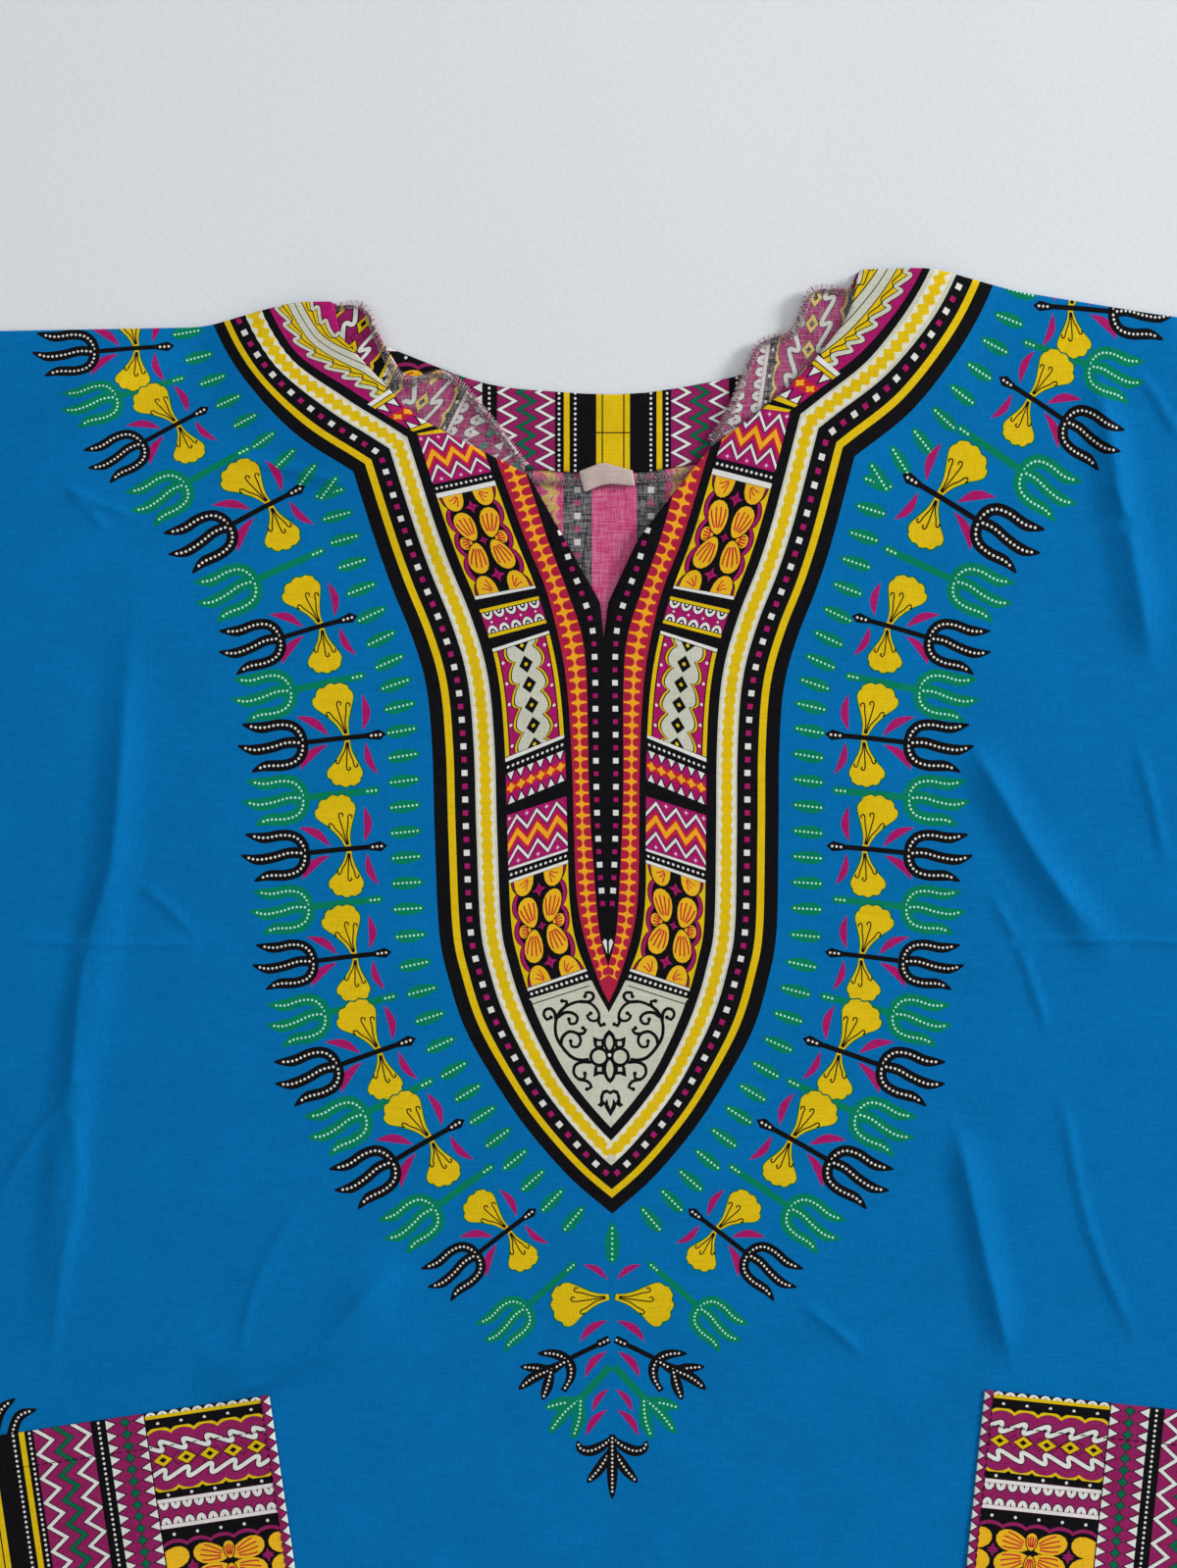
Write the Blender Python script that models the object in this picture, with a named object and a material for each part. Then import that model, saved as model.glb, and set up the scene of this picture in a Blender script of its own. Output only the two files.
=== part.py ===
"""A dashiki shirt laid flat on a table, front up, neck towards +Y.

Every piece that is cut and sewn is one closed wall of cloth.  The back panel rests on the
surface, the neck facings lie on it, the front panel lies over them, and the pockets lie on the
front panel.  All lengths are in metres and the origin is on the surface, under the middle.
"""

import math
from collections import namedtuple

import bmesh
import bpy
from mathutils import Vector
from mathutils.geometry import delaunay_2d_cdt

# Driving sizes of the shirt
BODY_LENGTH = 0.790
BODY_WIDTH = 0.756
HEM_WIDTH = 0.776
CUFF_TO_CUFF = 1.120
SLEEVE_DEPTH = 0.255
UNDERARM_RADIUS = 0.045
CORNER_RADIUS = 0.004

# Cloth
WALL = 0.0012
SEAM_GAP = 0.0003
LAYER = WALL + SEAM_GAP

# The stack of facings under the front panel lifts it round the neck
NECK_LIFT = 2 * LAYER + 0.0004
LIFT_FLAT_REACH = 0.032
LIFT_FADE_REACH = 0.075

# Facing strip and label
FACING_WIDTH = 0.039

# Patch pockets
POCKET_WIDTH = 0.172
POCKET_DEPTH = 0.180

# Fineness of the meshes
ARC_STEP = math.radians(18)
PANEL_GRID = 0.030
EDGE_STEP = 0.030
FOLD_STEP = 0.025

TOP = BODY_LENGTH / 2
HEM = -BODY_LENGTH / 2
CUFF_TOP = TOP - 0.035
UNDERARM = CUFF_TOP - SLEEVE_DEPTH

Corner = namedtuple("Corner", "x y radius")
Fold = namedtuple("Fold", "name points height half_width")
Finish = namedtuple("Finish", "red green blue roughness")

# Left and right are as the viewer sees them, so the left is towards -X.
LEFT_NECK_POINT = Corner(-0.1345, TOP - 0.0165, 0.003)
RIGHT_NECK_POINT = Corner(0.1210, TOP - 0.0010, 0.003)

LEFT_SHOULDER = [
    Corner(-CUFF_TO_CUFF / 2, CUFF_TOP, CORNER_RADIUS),
    Corner(-0.1980, TOP - 0.0285, 0.060),
    Corner(-0.1540, TOP - 0.0165, 0.080),
]
RIGHT_SHOULDER = [
    Corner(0.1560, TOP + 0.0002, 0.060),
    Corner(0.1990, TOP - 0.0110, 0.080),
    Corner(0.2780, TOP - 0.0240, 0.200),
    Corner(CUFF_TO_CUFF / 2, CUFF_TOP, CORNER_RADIUS),
]
FRONT_NECK_LEFT = [
    Corner(-0.1320, TOP - 0.0330, 0.030),
    Corner(-0.0960, TOP - 0.0720, 0.060),
    Corner(-0.0400, TOP - 0.1008, 0.006),
    Corner(-0.0048, TOP - 0.1632, 0.010),
]
SLIT_TIP = Corner(-0.0032, TOP - 0.1810, 0.0)
FRONT_NECK_RIGHT = [
    Corner(-0.0010, TOP - 0.1632, 0.010),
    Corner(0.0139, TOP - 0.1315, 0.060),
    Corner(0.0480, TOP - 0.0883, 0.006),
    Corner(0.0902, TOP - 0.0566, 0.150),
    Corner(0.1170, TOP - 0.0230, 0.040),
]
BACK_NECK = [
    Corner(-0.1180, TOP - 0.0345, 0.060),
    Corner(-0.0600, TOP - 0.0575, 0.120),
    Corner(0.0100, TOP - 0.0625, 0.180),
    Corner(0.0760, TOP - 0.0500, 0.090),
    Corner(0.1120, TOP - 0.0200, 0.060),
]
SIDES_AND_HEM = [
    Corner(CUFF_TO_CUFF / 2 + 0.002, UNDERARM - 0.003, CORNER_RADIUS),
    Corner(BODY_WIDTH / 2, UNDERARM + 0.004, UNDERARM_RADIUS),
    Corner(HEM_WIDTH / 2, HEM, CORNER_RADIUS),
    Corner(-HEM_WIDTH / 2, HEM, CORNER_RADIUS),
    Corner(-BODY_WIDTH / 2, UNDERARM, UNDERARM_RADIUS),
    Corner(-CUFF_TO_CUFF / 2 - 0.002, UNDERARM - 0.007, CORNER_RADIUS),
]

FRONT_OUTLINE = (
    LEFT_SHOULDER + [LEFT_NECK_POINT] + FRONT_NECK_LEFT + [SLIT_TIP]
    + FRONT_NECK_RIGHT + [RIGHT_NECK_POINT] + RIGHT_SHOULDER + SIDES_AND_HEM
)
BACK_OUTLINE = (
    LEFT_SHOULDER + [LEFT_NECK_POINT] + BACK_NECK + [RIGHT_NECK_POINT]
    + RIGHT_SHOULDER + SIDES_AND_HEM
)

# The facing strip follows the back neck, and its free edge runs one strip width away from it.
FACING_OUTLINE = [LEFT_NECK_POINT] + BACK_NECK + [
    RIGHT_NECK_POINT,
    Corner(0.1600, TOP - 0.0035, 0.004),
    Corner(0.1380, TOP - 0.0420, 0.070),
    Corner(0.0840, TOP - 0.0870, 0.090),
    Corner(0.0100, TOP - 0.0625 - FACING_WIDTH, 0.200),
    Corner(-0.0660, TOP - 0.0960, 0.110),
    Corner(-0.1340, TOP - 0.0600, 0.080),
    Corner(-0.1600, TOP - 0.0210, 0.004),
]
LEFT_FACING_OUTLINE = [
    Corner(-0.1400, TOP - 0.0185, 0.003),
    Corner(-0.1200, TOP - 0.0170, 0.012),
    Corner(-0.1120, TOP - 0.0340, 0.012),
    Corner(-0.1000, TOP - 0.0540, 0.010),
    Corner(-0.0800, TOP - 0.0500, 0.008),
    Corner(-0.0600, TOP - 0.0700, 0.040),
    Corner(-0.0400, TOP - 0.0960, 0.006),
    Corner(-0.0500, TOP - 0.1100, 0.006),
    Corner(-0.1080, TOP - 0.0840, 0.080),
    Corner(-0.1480, TOP - 0.0440, 0.030),
]
RIGHT_FACING_OUTLINE = [
    Corner(0.1260, TOP - 0.0080, 0.003),
    Corner(0.1170, TOP - 0.0100, 0.004),
    Corner(0.0980, TOP - 0.0095, 0.012),
    Corner(0.0880, TOP - 0.0310, 0.008),
    Corner(0.0720, TOP - 0.0360, 0.012),
    Corner(0.0575, TOP - 0.0680, 0.040),
    Corner(0.0480, TOP - 0.0840, 0.006),
    Corner(0.0560, TOP - 0.1000, 0.006),
    Corner(0.1060, TOP - 0.0680, 0.120),
    Corner(0.1360, TOP - 0.0260, 0.030),
]
LABEL_OUTLINE = [
    Corner(-0.0154, TOP - 0.0990, 0.001),
    Corner(-0.0040, TOP - 0.0945, 0.008),
    Corner(0.0110, TOP - 0.0985, 0.001),
    Corner(0.0122, TOP - 0.1065, 0.001),
    Corner(-0.0020, TOP - 0.1050, 0.020),
    Corner(-0.0128, TOP - 0.1095, 0.001),
]

# Each pocket is a leaning rectangle with its inner top corner here.
Pocket = namedtuple("Pocket", "name x y side lean")
POCKETS = [
    Pocket("left_pocket", -0.1665, TOP - 0.5500, -1, math.radians(8.5)),
    Pocket("right_pocket", 0.1829, TOP - 0.5475, 1, math.radians(-6.0)),
]

# The largest folds of the front, each a soft ridge along a broken line
FOLDS = [
    Fold("left_shoulder", [(-0.2050, 0.3590), (-0.3000, 0.3050), (-0.4200, 0.2700)], 0.0050, 0.020),
    Fold("left_long", [(-0.2340, 0.2390), (-0.2430, 0.1030), (-0.2610, 0.0000), (-0.2765, -0.1500)],
         0.0032, 0.014),
    Fold("left_low", [(-0.1000, -0.0860), (-0.1400, -0.1290), (-0.2100, -0.1480)], 0.0036, 0.020),
    Fold("left_side", [(-0.3420, 0.0600), (-0.3220, -0.0900), (-0.3520, -0.3000)], 0.0042, 0.018),
    Fold("left_sleeve", [(-0.4900, 0.3200), (-0.4300, 0.2200), (-0.4000, 0.1500)], 0.0050, 0.020),
    Fold("right_sleeve_top", [(0.2360, 0.3500), (0.2660, 0.1900)], 0.0030, 0.014),
    Fold("right_chest", [(0.1730, 0.1680), (0.2100, 0.1050), (0.2500, 0.0500)], 0.0034, 0.014),
    Fold("right_low", [(0.1680, -0.0160), (0.1850, -0.0930), (0.1950, -0.1440)], 0.0028, 0.012),
    Fold("right_side", [(0.3240, 0.0900), (0.3060, -0.0500), (0.3340, -0.1300)], 0.0045, 0.020),
    Fold("right_sleeve", [(0.5100, 0.3150), (0.4500, 0.2300), (0.3900, 0.1600)], 0.0052, 0.020),
    Fold("hem_left", [(-0.0800, -0.2300), (-0.1100, -0.3750)], 0.0038, 0.018),
    Fold("hem_right", [(0.0700, -0.2500), (0.1150, -0.3800)], 0.0034, 0.016),
]

BLUE_COTTON = Finish(0.001, 0.133, 0.347, 0.86)
BLUE_COTTON_BACK = Finish(0.001, 0.118, 0.310, 0.88)
BORDER_PRINT = Finish(0.420, 0.014, 0.130, 0.86)
BORDER_PRINT_WRONG_SIDE = Finish(0.480, 0.150, 0.270, 0.90)
LABEL_TAPE = Finish(0.560, 0.460, 0.380, 0.75)


def smooth_step(value):
    """Return 0 to 1, eased at both ends, for a value from 0 to 1."""
    held = min(max(value, 0.0), 1.0)
    return held * held * (3 - 2 * held)


def distance_along(x, y, points):
    """Return the distance to a broken line, and how far along it the nearest place is, 0 to 1."""
    here = Vector((x, y))
    spans = []
    travelled = 0.0
    best = None
    for start, end in zip(points, points[1:]):
        first = Vector(start)
        span = Vector(end) - first
        share = min(max((here - first).dot(span) / span.length_squared, 0.0), 1.0)
        gap = (here - first - span * share).length
        if best is None or gap < best[0]:
            best = (gap, travelled + share * span.length)
        travelled += span.length
        spans.append(span.length)
    return best[0], best[1] / sum(spans)


def fold_height(x, y):
    """Return how far the folds raise the front panel at a place."""
    height = 0.0
    for fold in FOLDS:
        gap, share = distance_along(x, y, fold.points)
        if gap < fold.half_width:
            ends = smooth_step(4 * share) * smooth_step(4 * (1 - share))
            height += fold.height * ends * (1 - smooth_step(gap / fold.half_width))
    return height


def neck_edge_points():
    """Return the front neck edge as a broken line, for measuring how near the facings are."""
    corners = [LEFT_NECK_POINT] + FRONT_NECK_LEFT[:3] + FRONT_NECK_RIGHT[2:] + [RIGHT_NECK_POINT]
    return [(corner.x, corner.y) for corner in corners]


def front_underside(x, y):
    """Return the height of the front panel's underside: the back, the facings and the folds."""
    gap, _share = distance_along(x, y, neck_edge_points())
    fade = (gap - LIFT_FLAT_REACH) / (LIFT_FADE_REACH - LIFT_FLAT_REACH)
    return LAYER + NECK_LIFT * (1 - smooth_step(fade)) + fold_height(x, y)


def pocket_underside(x, y):
    """Return the height of a pocket's underside, one layer above the front panel's."""
    return front_underside(x, y) + LAYER


def level(height):
    """Return a height function for a piece that lies level."""
    return lambda x, y: height


def rounded(corners):
    """Return the closed outline through corners, each turned on an arc of its own radius."""
    outline = []
    count = len(corners)
    for index, corner in enumerate(corners):
        here = Vector((corner.x, corner.y))
        back = Vector(corners[index - 1][:2]) - here
        ahead = Vector(corners[(index + 1) % count][:2]) - here
        turn = math.pi - back.angle(ahead)
        if corner.radius == 0.0 or turn < math.radians(2):
            outline.append(here)
            continue
        room = 0.48 * min(back.length, ahead.length)
        reach = min(corner.radius * math.tan(turn / 2), room)
        radius = reach / math.tan(turn / 2)
        first = here + back.normalized() * reach
        last = here + ahead.normalized() * reach
        inward = (back.normalized() + ahead.normalized()).normalized()
        centre = here + inward * math.hypot(radius, reach)
        steps = max(1, round(turn / ARC_STEP))
        start_angle = math.atan2(first.y - centre.y, first.x - centre.x)
        swing = math.atan2(last.y - centre.y, last.x - centre.x) - start_angle
        swing = (swing + math.pi) % (2 * math.pi) - math.pi
        for step in range(steps + 1):
            angle = start_angle + swing * step / steps
            outline.append(centre + radius * Vector((math.cos(angle), math.sin(angle))))
    return outline


def divided(points, step, closed=True):
    """Return the points with more of them put in, so that none are further apart than step."""
    result = []
    ends = points[1:] + points[:1] if closed else points[1:]
    for start, end in zip(points, ends):
        pieces = max(1, math.ceil((end - start).length / step))
        for index in range(pieces):
            result.append(start.lerp(end, index / pieces))
    if not closed:
        result.append(points[-1])
    return result


def inside(point, outline):
    """Return True if a point lies within a closed outline."""
    within = False
    for start, end in zip(outline, outline[1:] + outline[:1]):
        if (start.y > point.y) != (end.y > point.y):
            crossing = start.x + (point.y - start.y) / (end.y - start.y) * (end.x - start.x)
            within ^= point.x < crossing
    return within


def nearest_gap(point, outline):
    """Return the distance from a point to a closed outline."""
    loop = [(place.x, place.y) for place in outline + outline[:1]]
    return distance_along(point.x, point.y, loop)[0]


def grid_points(outlines, step):
    """Return grid points inside the first outline that keep clear of the lines of all of them."""
    outer = outlines[0]
    low_x = min(place.x for place in outer)
    high_x = max(place.x for place in outer)
    low_y = min(place.y for place in outer)
    high_y = max(place.y for place in outer)
    points = []
    for row in range(1, math.ceil((high_y - low_y) / step)):
        for column in range(1, math.ceil((high_x - low_x) / step)):
            shift = 0.25 * step * (1 if row % 2 else -1)
            point = Vector((low_x + column * step + shift, low_y + row * step))
            clear = min(nearest_gap(point, outline) for outline in outlines)
            if inside(point, outer) and clear > 0.4 * step:
                points.append(point)
    return points


def fold_lines(outline):
    """Return each fold's crest and its two feet as rows of points inside the outline."""
    rows = []
    for fold in FOLDS:
        crest = divided([Vector(point) for point in fold.points], FOLD_STEP, closed=False)
        for side in (-1.0, -0.5, 0.0, 0.5, 1.0):
            row = []
            for index, point in enumerate(crest):
                before = crest[max(index - 1, 0)]
                after = crest[min(index + 1, len(crest) - 1)]
                across = (after - before).orthogonal().normalized()
                row.append(point + across * side * fold.half_width)
            rows.append([p for p in row if inside(p, outline) and nearest_gap(p, outline) > 0.004])
    return rows


def clear_of(points, others, gap):
    """Return the points that keep a gap to all the others."""
    return [p for p in points if all((p - other).length > gap for other in others)]


def anticlockwise(outline):
    """Return the outline running anticlockwise, as the triangulation reads it."""
    area = sum(start.cross(end) for start, end in zip(outline, outline[1:] + outline[:1]))
    return outline if area > 0 else outline[::-1]


def triangulated(outlines, inner_points):
    """Return points, the triangles in the first outline, and the outlines that hold each."""
    points = []
    loops = []
    for outline in outlines:
        loops.append(list(range(len(points), len(points) + len(outline))))
        points.extend(anticlockwise(outline))
    points.extend(inner_points)
    flat, _edges, faces, _v, _e, owners = delaunay_2d_cdt(points, [], loops, 1, 1e-6, True)
    held = [(face, owner) for face, owner in zip(faces, owners) if 0 in owner]
    return flat, [face for face, _owner in held], [owner for _face, owner in held]


def wall_mesh(name, points, triangles, underside):
    """Return a closed wall of cloth over the triangles, from its underside up."""
    mesh = bpy.data.meshes.new(name)
    shape = bmesh.new()
    used = sorted({index for triangle in triangles for index in triangle})
    lower = {}
    upper = {}
    for index in used:
        x, y = points[index]
        z = underside(x, y)
        lower[index] = shape.verts.new((x, y, z))
        upper[index] = shape.verts.new((x, y, z + WALL))
    edges = {}
    for a, b, c in triangles:
        shape.faces.new((upper[a], upper[b], upper[c]))
        shape.faces.new((lower[c], lower[b], lower[a]))
        for edge in ((a, b), (b, c), (c, a)):
            edges[edge] = True
    for start, end in edges:
        if (end, start) not in edges:
            shape.faces.new((lower[start], lower[end], upper[end]))
            shape.faces.new((lower[start], upper[end], upper[start]))
    bmesh.ops.recalc_face_normals(shape, faces=shape.faces)
    shape.to_mesh(mesh)
    shape.free()
    return mesh


def finished(name, finish):
    """Return a Principled material of the given finish."""
    material = bpy.data.materials.new(name)
    material.use_nodes = True
    shader = material.node_tree.nodes["Principled BSDF"]
    shader.inputs["Base Color"].default_value = (finish.red, finish.green, finish.blue, 1.0)
    shader.inputs["Roughness"].default_value = finish.roughness
    shader.inputs["Metallic"].default_value = 0.0
    material.diffuse_color = (finish.red, finish.green, finish.blue, 1.0)
    return material


def add_piece(name, mesh, finish, parent):
    """Put a piece of cloth in the scene under the shirt's empty."""
    mesh.materials.append(finished(name + "_cloth", finish))
    mesh.shade_smooth()
    mesh.set_sharp_from_angle(angle=math.radians(40))
    piece = bpy.data.objects.new(name, mesh)
    piece.parent = parent
    bpy.context.scene.collection.objects.link(piece)
    return piece


def pocket_outline(pocket):
    """Return the four corners of a leaning patch pocket."""
    across = Vector((math.cos(pocket.lean), math.sin(pocket.lean))) * pocket.side
    down = Vector((math.sin(pocket.lean), -math.cos(pocket.lean)))
    top_inner = Vector((pocket.x, pocket.y))
    top_outer = top_inner + across * POCKET_WIDTH
    return [top_inner, top_outer, top_outer + down * POCKET_DEPTH, top_inner + down * POCKET_DEPTH]


def make_front_and_pockets(parent):
    """Make the front panel and the two pockets from one set of triangles."""
    outline = divided(rounded(FRONT_OUTLINE), EDGE_STEP)
    pockets = [divided(pocket_outline(pocket), EDGE_STEP) for pocket in POCKETS]
    outlines = [outline] + pockets
    creases = []
    for row in fold_lines(outline):
        kept = [p for p in row if min(nearest_gap(p, pocket) for pocket in pockets) > 0.006]
        creases.extend(clear_of(kept, creases, 0.004))
    grid = clear_of(grid_points(outlines, PANEL_GRID), creases, 0.4 * PANEL_GRID)
    points, triangles, owners = triangulated(outlines, creases + grid)
    front = wall_mesh("front_panel", points, triangles, front_underside)
    add_piece("front_panel", front, BLUE_COTTON, parent)
    for number, pocket in enumerate(POCKETS, start=1):
        part = [face for face, owner in zip(triangles, owners) if number in owner]
        mesh = wall_mesh(pocket.name, points, part, pocket_underside)
        add_piece(pocket.name, mesh, BORDER_PRINT, parent)


def make_level_piece(name, corners, height, finish, parent):
    """Make a piece that lies level at a height above the surface."""
    outline = rounded(corners)
    points, triangles, _owners = triangulated([outline], [])
    add_piece(name, wall_mesh(name, points, triangles, level(height)), finish, parent)


def clear_scene():
    """Remove every object that is already in the scene."""
    for piece in list(bpy.data.objects):
        bpy.data.objects.remove(piece, do_unlink=True)


def main():
    """Make the shirt."""
    clear_scene()
    shirt = bpy.data.objects.new("dashiki_shirt", None)
    bpy.context.scene.collection.objects.link(shirt)
    make_level_piece("back_panel", BACK_OUTLINE, 0.0, BLUE_COTTON_BACK, shirt)
    make_level_piece("back_neck_facing", FACING_OUTLINE, LAYER, BORDER_PRINT, shirt)
    make_level_piece("neck_label", LABEL_OUTLINE, 2 * LAYER, LABEL_TAPE, shirt)
    make_level_piece("left_neck_facing", LEFT_FACING_OUTLINE, 2 * LAYER,
                     BORDER_PRINT_WRONG_SIDE, shirt)
    make_level_piece("right_neck_facing", RIGHT_FACING_OUTLINE, 2 * LAYER,
                     BORDER_PRINT_WRONG_SIDE, shirt)
    make_front_and_pockets(shirt)


main()
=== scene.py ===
"""A dashiki shirt laid flat, front up: its printed cotton, neck facings, label, pockets and sewing.

The print is inlaid: every printed shape is a polygon, and each panel of cloth is cut into
triangles along their edges, so that each face carries one dye.  Cloth lengths are in metres and
print lengths are in millimetres.
"""

import logging
import math
from collections.abc import Callable, Sequence
from dataclasses import dataclass, field
from enum import Enum

import bpy
import numpy as np
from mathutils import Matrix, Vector
from mathutils.geometry import delaunay_2d_cdt

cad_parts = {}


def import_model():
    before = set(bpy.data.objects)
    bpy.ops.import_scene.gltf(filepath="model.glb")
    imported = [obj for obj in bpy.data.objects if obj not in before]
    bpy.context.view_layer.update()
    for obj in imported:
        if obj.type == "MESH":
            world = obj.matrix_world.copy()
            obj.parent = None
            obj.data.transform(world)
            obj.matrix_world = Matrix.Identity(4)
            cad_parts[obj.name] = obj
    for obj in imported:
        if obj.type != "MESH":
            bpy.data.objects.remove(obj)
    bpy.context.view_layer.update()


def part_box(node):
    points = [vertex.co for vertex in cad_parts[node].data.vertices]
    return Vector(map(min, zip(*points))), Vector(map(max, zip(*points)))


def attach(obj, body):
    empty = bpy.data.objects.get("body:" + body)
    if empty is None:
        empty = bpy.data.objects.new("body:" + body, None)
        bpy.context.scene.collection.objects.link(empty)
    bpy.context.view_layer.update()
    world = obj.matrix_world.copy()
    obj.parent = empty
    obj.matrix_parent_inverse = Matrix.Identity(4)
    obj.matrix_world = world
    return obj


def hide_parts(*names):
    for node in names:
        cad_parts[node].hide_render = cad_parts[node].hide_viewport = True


LOG = logging.getLogger("dashiki_shirt")
MM = 0.001

Points = np.ndarray
Place = Callable[[Points], Points]
Height = Callable[[Points], np.ndarray]


def add_object(name: str, data: bpy.types.ID) -> bpy.types.Object:
    """Return a new object in the scene."""
    made = bpy.data.objects.new(name, data)
    bpy.context.scene.collection.objects.link(made)
    return made


# ---------------------------------------------------------------- dyes and finishes


@dataclass(frozen=True)
class CottonFinish:
    """How one dye looks on the cotton.

    Attributes:
        colour: The dye's linear colour.
        roughness: The dye's roughness.
        fade: How much the raised yarns pale.
        mottle: How uneven the dye is over a hand's breadth.
        speck: How much undyed yarn shows through, as on the wrong side.
    """

    colour: tuple[float, float, float]
    roughness: float = 0.86
    fade: float = 0.010
    mottle: float = 0.10
    speck: float = 0.0


class Dye(Enum):
    """The dyes of the print, and what they look like on the wrong side of the cloth."""

    BLUE = CottonFinish((0.0004, 0.160, 0.438), fade=0.002)
    BLACK = CottonFinish((0.0050, 0.0045, 0.0060), roughness=0.80, fade=0.003)
    YELLOW = CottonFinish((0.775, 0.525, 0.005))
    GOLD = CottonFinish((0.880, 0.490, 0.014))
    AMBER = CottonFinish((0.920, 0.410, 0.018))
    CREAM = CottonFinish((0.620, 0.610, 0.490), fade=0.04)
    PALE_CREAM = CottonFinish((0.800, 0.770, 0.620), fade=0.04)
    WHITE = CottonFinish((0.800, 0.790, 0.740), fade=0.04)
    MAGENTA = CottonFinish((0.405, 0.008, 0.134))
    MULBERRY = CottonFinish((0.290, 0.014, 0.108))
    CRIMSON = CottonFinish((0.435, 0.014, 0.052))
    PINK = CottonFinish((0.560, 0.110, 0.290))
    RED = CottonFinish((0.560, 0.018, 0.026))
    GREEN = CottonFinish((0.001, 0.150, 0.062), fade=0.004)
    LEAF_GREEN = CottonFinish((0.001, 0.215, 0.110), fade=0.003)
    MINT = CottonFinish((0.480, 0.880, 0.680))
    TAPE = CottonFinish((0.560, 0.440, 0.400), fade=0.05)
    BLUE_WRONG = CottonFinish((0.010, 0.175, 0.380), speck=0.22)
    BLACK_WRONG = CottonFinish((0.034, 0.028, 0.036), speck=0.30)
    YELLOW_WRONG = CottonFinish((0.640, 0.440, 0.110), speck=0.20)
    AMBER_WRONG = CottonFinish((0.700, 0.340, 0.120), speck=0.20)
    WHITE_WRONG = CottonFinish((0.620, 0.590, 0.550), speck=0.15)
    MAGENTA_WRONG = CottonFinish((0.350, 0.034, 0.140), speck=0.16)
    PINK_WRONG = CottonFinish((0.620, 0.056, 0.205), speck=0.20)
    GREEN_WRONG = CottonFinish((0.050, 0.200, 0.140), speck=0.22)


# What each dye looks like on the wrong side
WRONG_SIDE = {
    dye: wrong
    for wrong, dyes in (
        (Dye.BLUE_WRONG, (Dye.BLUE,)),
        (Dye.BLACK_WRONG, (Dye.BLACK,)),
        (Dye.YELLOW_WRONG, (Dye.YELLOW, Dye.GOLD)),
        (Dye.AMBER_WRONG, (Dye.AMBER,)),
        (Dye.WHITE_WRONG, (Dye.CREAM, Dye.PALE_CREAM, Dye.WHITE)),
        (Dye.MAGENTA_WRONG, (Dye.MAGENTA, Dye.MULBERRY, Dye.CRIMSON, Dye.RED)),
        (Dye.PINK_WRONG, (Dye.PINK,)),
        (Dye.GREEN_WRONG, (Dye.GREEN,)),
    )
    for dye in dyes
}


class Graph:
    """Places and joins shader nodes in one node tree."""

    def __init__(self, tree: bpy.types.NodeTree) -> None:
        """Keep the tree and start it empty."""
        self.tree = tree
        tree.nodes.clear()

    def node(self, kind: str, inputs: dict | None = None, **settings: object) -> bpy.types.Node:
        """Add a node.

        Args:
            kind: The node's type name, without the word ShaderNode.
            inputs: Values or output sockets for its inputs, by name or number.
            **settings: The node's own properties.

        Returns:
            The new node.
        """
        prefix = "" if kind.startswith("NodeGroup") else "ShaderNode"
        made = self.tree.nodes.new(prefix + kind)
        for name, value in settings.items():
            setattr(made, name, value)
        for name, value in (inputs or {}).items():
            self.feed(made.inputs[name], value)
        return made

    def feed(self, socket: bpy.types.NodeSocket, value: object) -> None:
        """Give an input a plain value or a link."""
        if isinstance(value, bpy.types.NodeSocket):
            self.tree.links.new(value, socket)
        else:
            socket.default_value = value

    def math(self, operation: str, first: object, second: object = 0.0) -> bpy.types.NodeSocket:
        """Return the result of a sum on two values."""
        return self.node("Math", {0: first, 1: second}, operation=operation).outputs[0]

    def blend(self, share: object, first: object, second: object) -> bpy.types.NodeSocket:
        """Return a mix of two colours."""
        made = self.node("Mix", {0: share, 6: first, 7: second}, data_type="RGBA")
        return made.outputs[2]

    def ramp(self, value: object, low: float, high: float, to: tuple[float, float] = (0.0, 1.0)
             ) -> bpy.types.NodeSocket:
        """Return a value stretched from low..high to a new span, held at both ends."""
        inputs = {0: value, 1: low, 2: high, 3: to[0], 4: to[1]}
        return self.node("MapRange", inputs, clamp=True).outputs[0]


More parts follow.
